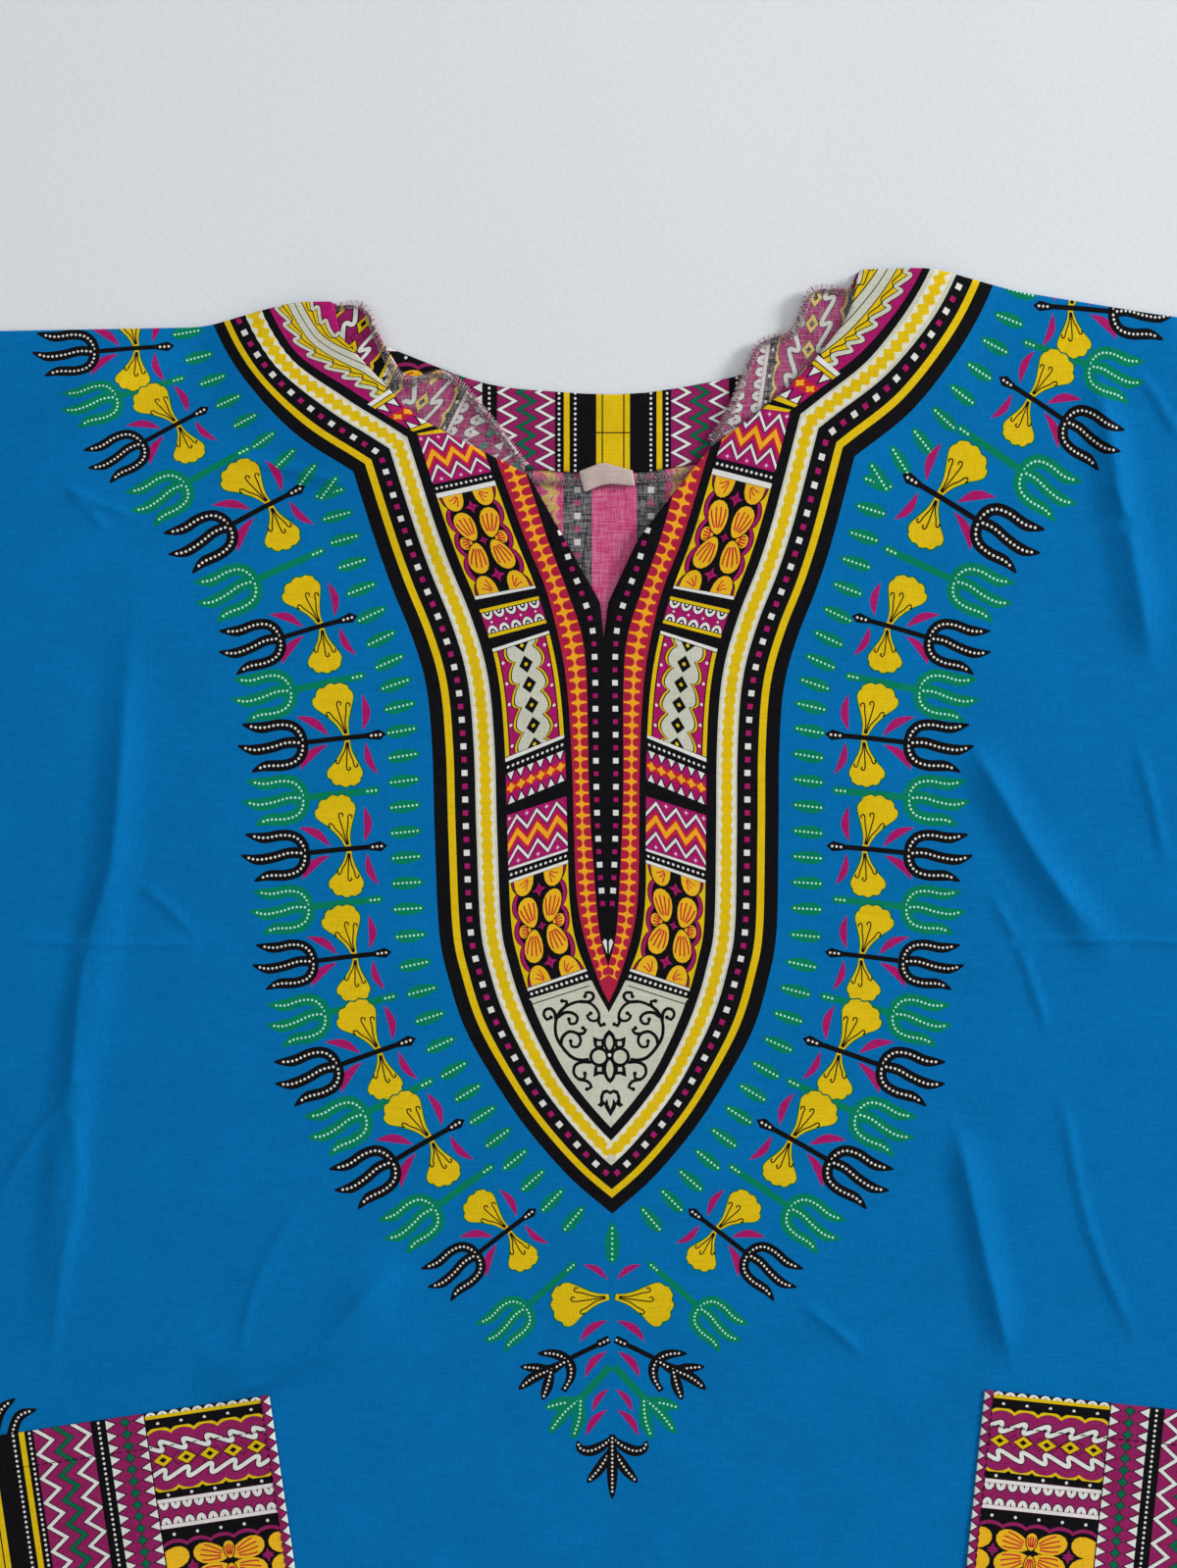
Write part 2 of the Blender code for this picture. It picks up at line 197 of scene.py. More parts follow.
class PlainWeave:
    """The shader group that every piece of cotton shares: yarns, slubs, specks and fading."""

    NAME = "plain_weave_cotton"
    YARN = 0.00042
    INPUTS = {"Dye": "Color", "Fade": "Float", "Mottle": "Float", "Speck": "Float", "Roughness": "Float"}
    OUTPUTS = {"Colour": "Color", "Roughness": "Float", "Height": "Float"}

    @classmethod
    def group(cls) -> bpy.types.NodeTree:
        """Return the group, made the first time it is asked for."""
        found = bpy.data.node_groups.get(cls.NAME)
        return found or cls.build()

    @classmethod
    def build(cls) -> bpy.types.NodeTree:
        """Make the group and return it."""
        tree = bpy.data.node_groups.new(cls.NAME, "ShaderNodeTree")
        graph = Graph(tree)
        for way, sockets in (("INPUT", cls.INPUTS), ("OUTPUT", cls.OUTPUTS)):
            for name, kind in sockets.items():
                tree.interface.new_socket(name, in_out=way, socket_type="NodeSocket" + kind)
        given = graph.node("NodeGroupInput").outputs
        place = graph.node("TexCoord").outputs["Object"]

        def noise(stretch: tuple[float, float, float], scale: float, detail: float = 2.0
                  ) -> bpy.types.NodeSocket:
            """Return noise whose grain is stretched along X and Y."""
            run = graph.node("Mapping", {"Vector": place, "Scale": stretch}).outputs[0]
            inputs = {"Vector": run, "Scale": scale, "Detail": detail, "Roughness": 0.6}
            return graph.node("TexNoise", inputs).outputs[0]

        split = graph.node("SeparateXYZ", {0: place}).outputs
        turns = math.pi / cls.YARN
        wander = graph.math("MULTIPLY", noise((1.0, 1.0, 1.0), 90.0), 3.0)
        across = graph.math("SINE", graph.math("ADD", graph.math("MULTIPLY", split[0], turns), wander))
        along = graph.math("SINE", graph.math("ADD", graph.math("MULTIPLY", split[1], turns), wander))
        over = graph.math("MULTIPLY", across, along)
        slub = graph.math("ADD", noise((1.0, 0.09, 1.0), 1700.0), noise((0.09, 1.0, 1.0), 1500.0))
        height = graph.math("ADD", graph.math("MULTIPLY", over, 0.30), graph.math("MULTIPLY", slub, 0.9))

        bare = (0.80, 0.78, 0.74, 1.0)
        raised = graph.ramp(graph.math("ADD", slub, graph.math("MULTIPLY", over, 0.10)), 0.85, 1.30)
        faded = graph.blend(graph.math("MULTIPLY", raised, given["Fade"]), given["Dye"], bare)
        cloudy = graph.ramp(noise((1.0, 1.0, 1.0), 26.0, 3.0), 0.30, 0.70, (-0.5, 0.5))
        value = graph.math("ADD", graph.math("MULTIPLY", cloudy, given["Mottle"]),
                           graph.ramp(slub, 0.72, 1.28, (0.90, 1.10)))
        even = graph.node("HueSaturation", {"Color": faded, "Value": value}).outputs[0]
        pale = graph.math("MULTIPLY", graph.ramp(slub, 0.86, 1.22), given["Speck"])
        shown = graph.blend(pale, even, bare)
        rough = graph.math("ADD", given["Roughness"], graph.ramp(slub, 0.75, 1.25, (0.05, -0.05)))
        graph.node("NodeGroupOutput", {"Colour": shown, "Roughness": rough, "Height": height})
        return tree


def cotton_material(dye: Dye) -> bpy.types.Material:
    """Return the material of one dye, fed by the plain weave and made when it is first asked for."""
    name = "cotton_" + dye.name.lower()
    if name in bpy.data.materials:
        return bpy.data.materials[name]
    finish = dye.value
    material = bpy.data.materials.new(name)
    material.use_nodes = True
    graph = Graph(material.node_tree)
    inputs = {
        "Dye": (*finish.colour, 1.0),
        "Fade": finish.fade,
        "Mottle": finish.mottle,
        "Speck": finish.speck,
        "Roughness": finish.roughness,
    }
    weave = graph.node("Group", node_tree=PlainWeave.group())
    for key, value in inputs.items():
        graph.feed(weave.inputs[key], value)
    bump = graph.node("Bump", {"Height": weave.outputs["Height"], "Strength": 0.30, "Distance": 0.0002})
    shader = graph.node("BsdfPrincipled", {
        "Base Color": weave.outputs["Colour"],
        "Roughness": weave.outputs["Roughness"],
        "Normal": bump.outputs[0],
        "Specular IOR Level": 0.05,
        "Sheen Weight": 0.10,
        "Sheen Roughness": 0.60,
        "Sheen Tint": (*finish.colour, 1.0),
    })
    graph.node("OutputMaterial", {"Surface": shader.outputs[0]})
    material.diffuse_color = (*finish.colour, 1.0)
    return material


# ---------------------------------------------------------------- plane geometry


def eased(value: np.ndarray | float) -> np.ndarray:
    """Return 0 to 1, eased at both ends, for values from 0 to 1."""
    held = np.clip(value, 0.0, 1.0)
    return held * held * (3 - 2 * held)


def spline(knots: Sequence[Sequence[float]], step: float = 2.0) -> Points:
    """Return a smooth line through knots, with its points about a step apart."""
    given = np.asarray(knots, float)
    ends = np.vstack([2 * given[0] - given[1], given, 2 * given[-1] - given[-2]])
    made = []
    for before, start, end, after in zip(ends, ends[1:], ends[2:], ends[3:]):
        count = max(1, round(float(np.linalg.norm(end - start)) / step))
        t = np.arange(count)[:, None] / count
        curve = 2 * start + (end - before) * t
        curve = curve + (2 * before - 5 * start + 4 * end - after) * t**2
        made.append((curve + (3 * start - before - 3 * end + after) * t**3) / 2)
    return np.vstack(made + [given[-1:]])


def directions(line: Points) -> Points:
    """Return the unit direction of an open line at each of its points."""
    runs = np.diff(line, axis=0)
    runs /= np.linalg.norm(runs, axis=1, keepdims=True)
    mean = np.vstack([runs[:1], runs[:-1] + runs[1:], runs[-1:]])
    return mean / np.linalg.norm(mean, axis=1, keepdims=True)


def beside(line: Points, gap: np.ndarray | float) -> Points:
    """Return an open line moved to its left by a gap, with its corners kept sharp."""
    heading = directions(line)
    left = np.stack([-heading[:, 1], heading[:, 0]], 1)
    runs = np.diff(line, axis=0)
    runs /= np.linalg.norm(runs, axis=1, keepdims=True)
    runs = np.vstack([runs, runs[-1:]])
    across = np.clip(np.abs((heading * runs).sum(1)), 0.5, 1.0)
    return line + left * (gap / across)[:, None]


def lengths(line: Points) -> np.ndarray:
    """Return how far along an open line each of its points is."""
    return np.concatenate([[0.0], np.cumsum(np.linalg.norm(np.diff(line, axis=0), axis=1))])


def at_length(line: Points, where: np.ndarray) -> Points:
    """Return the places at given lengths along an open line."""
    run = lengths(line)
    return np.stack([np.interp(where, run, line[:, 0]), np.interp(where, run, line[:, 1])], 1)


def ribbon(line: Points, width: np.ndarray | float) -> Points:
    """Return the outline of an open line drawn with a width, which may change along it."""
    half = np.broadcast_to(np.asarray(width, float) / 2, (len(line),))
    return np.vstack([beside(line, half), beside(line, -half)[::-1]])


def tapered(line: Points, width: float, start: float = 0.3, end: float = 0.3) -> Points:
    """Return a stroke that swells to its width and narrows to a share of it at its ends."""
    share = lengths(line) / lengths(line)[-1]
    body = np.sin(np.pi * np.clip(share, 0.0, 1.0)) ** 0.5
    ends = start + (end - start) * share
    return ribbon(line, width * np.maximum(body, ends))


def disc(x: float, y: float, radius: float, sides: int = 8) -> Points:
    """Return a small round outline."""
    angle = np.arange(sides) * 2 * math.pi / sides
    return np.stack([x + radius * np.cos(angle), y + radius * np.sin(angle)], 1)


def box(x0: float, y0: float, x1: float, y1: float) -> Points:
    """Return a rectangle."""
    return np.array([(x0, y0), (x1, y0), (x1, y1), (x0, y1)], float)


def gap_to_line(points: Points, line: Points) -> tuple[np.ndarray, np.ndarray]:
    """Measure points against a broken line.

    Returns:
        Each point's distance to the line, and how far along it the nearest place is, 0 to 1.
    """
    gap = np.full(len(points), np.inf)
    share = np.zeros(len(points))
    run = lengths(line)
    for index in range(len(line) - 1):
        span = line[index + 1] - line[index]
        size = float(span @ span)
        along = np.clip((points - line[index]) @ span / size, 0.0, 1.0)
        distance = np.linalg.norm(points - line[index] - along[:, None] * span, axis=1)
        nearer = distance < gap
        gap[nearer] = distance[nearer]
        share[nearer] = (run[index] + along[nearer] * math.sqrt(size)) / run[-1]
    return gap, share


def inside(points: Points, outline: Points) -> np.ndarray:
    """Return which points lie within a closed outline."""
    within = np.zeros(len(points), bool)
    x, y = points.T
    for (x0, y0), (x1, y1) in zip(outline, np.roll(outline, -1, axis=0)):
        if y0 == y1:
            continue
        crosses = (y0 > y) != (y1 > y)
        within ^= crosses & (x < x0 + (y - y0) / (y1 - y0) * (x1 - x0))
    return within


def anticlockwise(outline: Points) -> Points:
    """Return an outline running anticlockwise."""
    x, y = outline.T
    area = float(x @ np.roll(y, -1) - y @ np.roll(x, -1))
    return outline if area > 0 else outline[::-1]


# ---------------------------------------------------------------- the cut of the shirt


@dataclass(frozen=True)
class Corner:
    """A corner of a pattern piece, turned on an arc."""

    x: float
    y: float
    radius: float


@dataclass(frozen=True)
class ShirtCut:
    """The driving sizes and the outlines of the pattern pieces.

    Left is towards -X, as the viewer sees the shirt.
    """

    top: float
    cuff_to_cuff: float = 1.120
    sleeve_depth: float = 0.255
    body_width: float = 0.756
    hem_width: float = 0.776
    wall: float = 0.0012
    seam_gap: float = 0.0003
    arc_step: float = math.radians(5)

    @property
    def layer(self) -> float:
        """How far one layer of cloth lies above the one under it."""
        return self.wall + self.seam_gap

    def corners(self, *rows: tuple[float, float, float]) -> list[Corner]:
        """Return corners whose second number is measured down from the top of the shirt."""
        return [Corner(x, self.top - drop, radius) for x, drop, radius in rows]

    def left_neck_point(self) -> list[Corner]:
        """Return where the left shoulder meets the neck."""
        return self.corners((-0.1345, 0.0165, 0.003))

    def right_neck_point(self) -> list[Corner]:
        """Return where the right shoulder meets the neck."""
        return self.corners((0.1210, 0.0010, 0.003))

    def left_shoulder(self) -> list[Corner]:
        """Return the left shoulder from the cuff in."""
        cuff = -self.cuff_to_cuff / 2
        return self.corners((cuff, 0.035, 0.004), (-0.1980, 0.0285, 0.060), (-0.1540, 0.0165, 0.080))

    def right_shoulder(self) -> list[Corner]:
        """Return the right shoulder from the neck out."""
        cuff = self.cuff_to_cuff / 2
        return self.corners((0.1560, -0.0002, 0.060), (0.1990, 0.0110, 0.080),
                            (0.2780, 0.0240, 0.200), (cuff, 0.035, 0.004))

    def front_neck(self) -> list[Corner]:
        """Return the front neck edge from left to right, with its short slit."""
        return self.corners(
            (-0.1320, 0.0330, 0.030), (-0.0960, 0.0720, 0.060), (-0.0400, 0.1008, 0.006),
            (-0.0048, 0.1632, 0.010), (-0.0032, 0.1810, 0.0), (-0.0010, 0.1632, 0.010),
            (0.0139, 0.1315, 0.060), (0.0480, 0.0883, 0.006), (0.0902, 0.0566, 0.150),
            (0.1170, 0.0230, 0.040))

    def back_neck(self) -> list[Corner]:
        """Return the back neck edge from left to right."""
        return self.corners((-0.1180, 0.0345, 0.060), (-0.0600, 0.0575, 0.120),
                            (0.0100, 0.0625, 0.180), (0.0760, 0.0500, 0.090), (0.1120, 0.0200, 0.060))

    def sides_and_hem(self) -> list[Corner]:
        """Return the right sleeve's end, the right side, the hem, and the left side up."""
        cuff = self.cuff_to_cuff / 2 + 0.002
        under = 0.035 + self.sleeve_depth
        length = 2 * self.top
        return self.corners(
            (cuff, under + 0.003, 0.004), (self.body_width / 2, under - 0.004, 0.045),
            (self.hem_width / 2, length, 0.004), (-self.hem_width / 2, length, 0.004),
            (-self.body_width / 2, under, 0.045), (-cuff, under + 0.007, 0.004))

    def panel(self, neck: list[Corner]) -> list[Corner]:
        """Return the outline of the front or of the back, round its own neck edge."""
        return (self.left_shoulder() + self.left_neck_point() + neck
                + self.right_neck_point() + self.right_shoulder() + self.sides_and_hem())

    def facing(self) -> list[Corner]:
        """Return the back neck facing's outline."""
        return (self.left_neck_point() + self.back_neck() + self.right_neck_point() + self.corners(
            (0.1600, 0.0035, 0.004), (0.1380, 0.0420, 0.070), (0.0840, 0.0870, 0.090),
            (0.0100, 0.1015, 0.200), (-0.0660, 0.0960, 0.110), (-0.1340, 0.0600, 0.080),
            (-0.1600, 0.0210, 0.004)))

    def left_flap(self) -> list[Corner]:
        """Return the outline of the left neck facing, which shows its wrong side."""
        return self.corners(
            (-0.1400, 0.0185, 0.003), (-0.1200, 0.0170, 0.012), (-0.1120, 0.0340, 0.012),
            (-0.1000, 0.0540, 0.010), (-0.0800, 0.0500, 0.008), (-0.0600, 0.0700, 0.040),
            (-0.0400, 0.0960, 0.006), (-0.0500, 0.1100, 0.006), (-0.1080, 0.0840, 0.080),
            (-0.1480, 0.0440, 0.030))

    def right_flap(self) -> list[Corner]:
        """Return the outline of the right neck facing, which shows its wrong side."""
        return self.corners(
            (0.1260, 0.0080, 0.003), (0.1170, 0.0100, 0.004), (0.0980, 0.0095, 0.012),
            (0.0880, 0.0310, 0.008), (0.0720, 0.0360, 0.012), (0.0575, 0.0680, 0.040),
            (0.0480, 0.0840, 0.006), (0.0560, 0.1000, 0.006), (0.1060, 0.0680, 0.120),
            (0.1360, 0.0260, 0.030))

    def label(self) -> list[Corner]:
        """Return the neck label's outline."""
        return self.corners(
            (-0.0154, 0.0990, 0.001), (-0.0040, 0.0945, 0.008), (0.0110, 0.0985, 0.001),
            (0.0122, 0.1065, 0.001), (-0.0020, 0.1050, 0.020), (-0.0128, 0.1095, 0.001))

    def rounded(self, corners: list[Corner]) -> Points:
        """Return the closed outline through corners, each turned on an arc of its own radius."""
        outline = []
        for index, corner in enumerate(corners):
            here = Vector((corner.x, corner.y))
            back = Vector((corners[index - 1].x, corners[index - 1].y)) - here
            following = corners[(index + 1) % len(corners)]
            ahead = Vector((following.x, following.y)) - here
            turn = math.pi - back.angle(ahead)
            if corner.radius == 0.0 or turn < math.radians(2):
                outline.append(tuple(here))
                continue
            reach = min(corner.radius * math.tan(turn / 2), 0.48 * min(back.length, ahead.length))
            radius = reach / math.tan(turn / 2)
            first = here + back.normalized() * reach
            last = here + ahead.normalized() * reach
            inward = (back.normalized() + ahead.normalized()).normalized()
            centre = here + inward * math.hypot(radius, reach)
            steps = max(2, round(turn / self.arc_step))
            start = math.atan2(first.y - centre.y, first.x - centre.x)
            swing = math.atan2(last.y - centre.y, last.x - centre.x) - start
            swing = (swing + math.pi) % (2 * math.pi) - math.pi
            for step in range(steps + 1):
                angle = start + swing * step / steps
                outline.append((centre.x + radius * math.cos(angle), centre.y + radius * math.sin(angle)))
        return np.array(outline)


def divided(outline: Points, step: float) -> Points:
    """Return a closed outline with points put in, so that none are further apart than step."""
    made = []
    for start, end in zip(outline, np.roll(outline, -1, axis=0)):
        count = max(1, math.ceil(float(np.linalg.norm(end - start)) / step))
        made.append(start + (end - start) * np.arange(count)[:, None] / count)
    return np.vstack(made)


# ---------------------------------------------------------------- how the cloth lies


@dataclass(frozen=True)
class Crease:
    """A soft ridge or, with a negative height, a trough, along a given line.

    Attributes:
        line: The places that it passes through.
        height: Its height at the middle.
        reach: How far it spreads to either side.
    """

    line: tuple[tuple[float, float], ...]
    height: float
    reach: float

    def guides(self) -> Points:
        """Return rows of places along the crease that follow its form closely."""
        route = spline(self.line, step=0.005)
        shares = (-1.1, -0.7, -0.3, 0.0, 0.3, 0.7, 1.1)
        return np.vstack([beside(route, share * self.reach) for share in shares])

    def raise_at(self, points: Points) -> np.ndarray:
        """Return how far this crease raises the cloth at each place."""
        route = spline(self.line, step=0.02)
        made = np.zeros(len(points))
        low, high = route.min(0) - self.reach, route.max(0) + self.reach
        near = np.flatnonzero(((points > low) & (points < high)).all(1))
        if len(near):
            gap, share = gap_to_line(points[near], route)
            ends = eased(4 * share) * eased(4 * (1 - share))
            made[near] = self.height * ends * (1 - eased(gap / self.reach))
        return made


def creased(*rows: tuple) -> tuple[Crease, ...]:
    """Return creases from rows of a height, a reach and places, all in millimetres."""
    def metres(size: float) -> float:
        """Return a size in metres."""
        return round(size / 1000, 6)

    return tuple(Crease(tuple((metres(x), metres(y)) for x, y in line), metres(height), metres(reach))
                 for height, reach, *line in rows)


# The largest folds of the front, which its solid has too
FOLDS = creased(
    (5, 20, (-205, 359), (-300, 305), (-420, 270)),
    (3.2, 14, (-234, 239), (-243, 103), (-261, 0), (-276.5, -150)),
    (3.6, 20, (-100, -86), (-140, -129), (-210, -148)),
    (4.2, 18, (-342, 60), (-322, -90), (-352, -300)),
    (5, 20, (-490, 320), (-430, 220), (-400, 150)),
    (3, 14, (236, 350), (266, 190)),
    (3.4, 14, (173, 168), (210, 105), (250, 50)),
    (2.8, 12, (168, -16), (185, -93), (195, -144)),
    (4.5, 20, (324, 90), (306, -50), (334, -130)),
    (5.2, 20, (510, 315), (450, 230), (390, 160)),
    (3.8, 18, (-80, -230), (-110, -375)),
    (3.4, 16, (70, -250), (115, -380)),
)

# Finer, sharper creases of the front
CREASES = creased(
    (1.1, 5, (-202, 360), (-250, 331), (-300, 305), (-360, 287)),
    (0.9, 4.5, (-196, 306), (-160, 298), (-124, 288)),
    (0.9, 4.5, (-267, 290), (-256, 279), (-246, 266)),
    (0.8, 4, (-267, 289), (-249, 280), (-230, 273)),
    (1.2, 5, (-234, 239), (-235, 202), (-243, 103), (-256, 65), (-262, 0), (-259, -47), (-267, -93),
     (-277, -170)),
    (0.7, 3.5, (-300, 67), (-240, 65), (-178, 66)),
    (0.9, 4.5, (-232, 96), (-216, 83), (-201, 68)),
    (1.2, 5, (-299, -58), (-275, -21), (-258, -8)),
    (1.1, 5, (-104, -89), (-139, -130), (-163, -148), (-207, -157)),
    (0.8, 4.5, (-150, -60), (-172, -98), (-182, -140)),
    (1, 4.5, (258, 345), (268, 330), (280, 309)),
    (1, 5, (236, 352), (246, 300), (257, 245), (265, 192)),
    (0.8, 4, (244, 292), (247, 284), (250, 274)),
    (1.2, 5, (173, 168), (192, 136), (210, 105), (234, 72)),
    (1, 4.5, (181, 96), (199, 66), (216, 15)),
    (0.7, 3.5, (200, 66), (250, 67), (310, 64)),
    (1.1, 5, (256, 166), (265, 134), (272, 101)),
    (1.2, 5, (219, -1), (234, -74.5), (261, -137)),
    (1, 4.5, (167.5, -16), (184, -93), (199, -150)),
    (1, 4.5, (92, -109.5), (110, -123), (125, -137)),
    (1.2, 5, (-470, 285), (-425, 215), (-398, 160)),
    (1.2, 5, (498, 300), (450, 230), (404, 175)),
    (1, 5, (-318, -120), (-335, -210), (-345, -290)),
    (1, 5, (-85, -250), (-100, -310), (-108, -360)),
    (1, 5, (75, -262), (94, -320), (112, -372)),
)


@dataclass
class Lie:
    """How the cloth lies: the height of each layer over the surface."""

    cut: ShirtCut
    neck_lift: float = 0.0034
    flat_reach: float = 0.032
    fade_reach: float = 0.075

    def __post_init__(self) -> None:
        """Work out the line that the facings follow under the front."""
        front = self.cut.front_neck()
        row = self.cut.left_neck_point() + front[:3] + front[7:] + self.cut.right_neck_point()
        self.neck_line = np.array([(corner.x, corner.y) for corner in row])

    def front_underside(self, points: Points) -> np.ndarray:
        """Return the height of the front's underside at each place."""
        gap, _share = gap_to_line(points, self.neck_line)
        fade = (gap - self.flat_reach) / (self.fade_reach - self.flat_reach)
        height = self.cut.layer + self.neck_lift * (1 - eased(fade))
        for crease in FOLDS + CREASES:
            height = height + crease.raise_at(points)
        return np.maximum(height, self.cut.layer)


# ---------------------------------------------------------------- print motifs


@dataclass
class PrintCanvas:
    """Printed shapes in the order in which they are laid, the last on top.

    Attributes:
        shapes: The dye and outline of each shape.
        wrong_side: True while the cloth shows its wrong side.
    """

    shapes: list[tuple[Dye, Points]] = field(default_factory=list)
    wrong_side: bool = False

    def lay(self, dye: Dye, outline: Points) -> None:
        """Lay a shape whose outline is in millimetres on the cloth."""
        shown = WRONG_SIDE.get(dye, dye) if self.wrong_side else dye
        self.shapes.append((shown, anticlockwise(np.asarray(outline, float)) * MM))


@dataclass
class Tile:
    """A patch of print with its own millimetre coordinates, x across and y up.

    Attributes:
        canvas: Where its shapes are laid.
        width: Its width.
        height: Its height.
        place: Where its coordinates lie on the cloth.
    """

    canvas: PrintCanvas
    width: float
    height: float
    place: Place

    def shape(self, dye: Dye, outline: Points) -> None:
        """Lay one shape."""
        self.canvas.lay(dye, self.place(np.asarray(outline, float)))

    def within(self, dye: Dye, outline: Points) -> None:
        """Lay one shape, cut off a hair inside the tile's four sides."""
        hair = 0.03
        sides = [(axis, edge, way) for axis, far in enumerate((self.width, self.height))
                 for edge, way in ((hair, 1.0), (far - hair, -1.0))]
        for axis, edge, way in sides:
            kept = []
            for start, end in zip(outline, np.roll(outline, -1, axis=0)):
                first, last = way * (start[axis] - edge), way * (end[axis] - edge)
                if first > 0:
                    kept.append(start)
                if (first > 0) != (last > 0):
                    kept.append(start + (end - start) * first / (first - last))
            if len(kept) < 3:
                return
            outline = np.array(kept)
        self.shape(dye, outline)

    def bar(self, dye: Dye, low: float, high: float, left: float = 0.0, right: float | None = None
            ) -> None:
        """Lay a level bar, with enough points along it to bend with the tile."""
        end = self.width if right is None else right
        count = max(2, math.ceil((end - left) / 4.0) + 1)
        rise = max(2, math.ceil((high - low) / 4.0) + 1)
        x = np.linspace(left, end, count)
        y = np.linspace(low, high, rise)[1:-1]
        sides = [np.stack([x, np.full(count, low)], 1), np.stack([np.full(len(y), end), y], 1),
                 np.stack([x[::-1], np.full(count, high)], 1),
                 np.stack([np.full(len(y), left), y[::-1]], 1)]
        self.shape(dye, np.vstack(sides))

    def fill(self, dye: Dye) -> None:
        """Cover the tile."""
        self.bar(dye, 0.0, self.height)

    def part(self, left: float, low: float, right: float, high: float) -> "Tile":
        """Return a smaller tile within this one."""
        move = np.array([left, low])
        return Tile(self.canvas, right - left, high - low, lambda points: self.place(points + move))

    def turned(self) -> "Tile":
        """Return the tile with its x running up this one, for bands that stand upright."""
        return Tile(self.canvas, self.height, self.width, lambda points: self.place(points[:, ::-1]))

    def stops(self, pitch: float) -> tuple[np.ndarray, float]:
        """Return the middles of as many whole repeats as fit about a pitch, and the true pitch."""
        count = max(1, round(self.width / pitch))
        true = self.width / count
        return (np.arange(count) + 0.5) * true, true

    def dots(self, dye: Dye, y: float, pitch: float, size: float) -> None:
        """Lay a level row of dots."""
        for x in self.stops(pitch)[0]:
            self.shape(dye, disc(x, y, size / 2, 6))

    def teeth(self, dye: Dye, base: float, rise: float, pitch: float, share: float = 0.92) -> None:
        """Lay a row of triangles on a base line, pointing down where rise is negative."""
        middles, true = self.stops(pitch)
        for x in middles:
            half = true * share / 2
            self.shape(dye, np.array([(x - half, base), (x + half, base), (x, base + rise)]))

    def zigzag(self, dye: Dye, mid: float, swing: float, thick: float, period: float,
               phase: float = 0.0) -> None:
        """Lay a level zigzag line of full swing from peak to trough."""
        turns = np.arange(-2, math.ceil(2 * self.width / period) + 2)
        x = (turns + phase) * period / 2
        y = mid + np.where(turns % 2 == 0, -0.5, 0.5) * swing
        keep = np.clip(x, 0.0, self.width)
        inner = np.interp(keep, x, y)
        _only, index = np.unique(keep, return_index=True)
        line = np.stack([keep[index], inner[index]], 1)
        half = np.array([0.0, thick / 2])
        self.shape(dye, np.vstack([line + half, (line - half)[::-1]]))

    def scallops(self, dye: Dye, base: float, rise: float, pitch: float, share: float = 0.95) -> None:
        """Lay a row of half discs on a base line, hanging down where rise is negative."""
        middles, true = self.stops(pitch)
        angle = np.linspace(0.0, math.pi, 7)
        for x in middles:
            arc = np.stack([x + true * share / 2 * np.cos(angle), base + rise * np.sin(angle)], 1)
            self.shape(dye, arc)

    def stroke(self, dye: Dye, line: Points, width: float) -> None:
        """Lay a line of even width."""
        self.shape(dye, ribbon(np.asarray(line, float), width))

    def run(self, dye: Dye, line: Points, width: float) -> None:
        """Lay a line that doubles back on itself, one short length after another."""
        for start, end in zip(line, line[1:]):
            ahead = (end - start) * (width / 2 / float(np.linalg.norm(end - start)))
            across = np.array([-ahead[1], ahead[0]])
            first, last = start - 0.35 * ahead, end + 0.35 * ahead
            quad = self.place(np.array([first - across, last - across, last + across, first + across]))
            east, north = (quad - quad.mean(0)).T
            self.canvas.lay(dye, quad[np.argsort(np.arctan2(north, east))])

    def waves(self, y: float, rise: float, period: float, lean: float = 0.19) -> Points:
        """Return a line of waves whose crests lean over.

        Args:
            y: The height of its middle.
            rise: How high it goes from trough to crest, or less than nothing to turn it over.
            period: How far apart its crests are, about.
            lean: How far its crests lean, as a share of the period.

        Returns:
            The line from left to right.
        """
        count = max(1, round(self.width / period))
        true = self.width / count
        turn = np.linspace(0.0, 2 * math.pi * count, 13 * count + 1)
        x = true * turn / (2 * math.pi) + lean * true * np.sin(turn)
        return np.stack([x, y + rise / 2 * np.sin(turn)], 1)

    def arches(self, dye: Dye, base: float, rise: float, thick: float, pitch: float) -> None:
        """Lay a line of joined arches that stand on a base line, or hang where rise is negative."""
        count = max(1, round(self.width / pitch))
        x = np.linspace(0.0, self.width, count * 8 + 1)
        y = base + rise * np.abs(np.sin(np.pi * x / self.width * count)) ** 0.7
        self.shape(dye, np.vstack([np.stack([x, y + thick / 2], 1),
                                   np.stack([x, y - thick / 2], 1)[::-1]]))

    def fringe(self, base: float, rise: float, pitch: float) -> None:
        """Lay a row of white half discs with slits on a base line, hanging where rise is negative."""
        self.scallops(Dye.BLACK, base, rise * 1.16, pitch, 1.0)
        self.scallops(Dye.WHITE, base, rise, pitch, 0.86)
        self.teeth(Dye.BLACK, base, rise * 0.5, pitch, 0.16)

    def diamonds(self, dye: Dye, y: float, pitch: float, wide: float, tall: float) -> None:
        """Lay a row of diamonds."""
        for x in self.stops(pitch)[0]:
            self.shape(dye, np.array([(x - wide / 2, y), (x, y - tall / 2), (x + wide / 2, y),
                                      (x, y + tall / 2)]))

    def pod(self, dye: Dye, middle: Points, half: Points) -> None:
        """Lay a shape with pointed ends, half as wide at each inner place of its middle line."""
        inner = middle[1:-1]
        self.shape(dye, np.vstack([middle[:1], inner + half, middle[-1:], (inner - half)[::-1]]))

    def clover(self, dye: Dye, x: float, y: float, radius: float) -> None:
        """Lay a four-lobed clover."""
        angle = np.arange(16) * math.pi / 8
        reach = radius * (0.78 + 0.22 * np.cos(4 * angle))
        self.within(dye, np.stack([x + reach * np.cos(angle), y + reach * np.sin(angle)], 1))

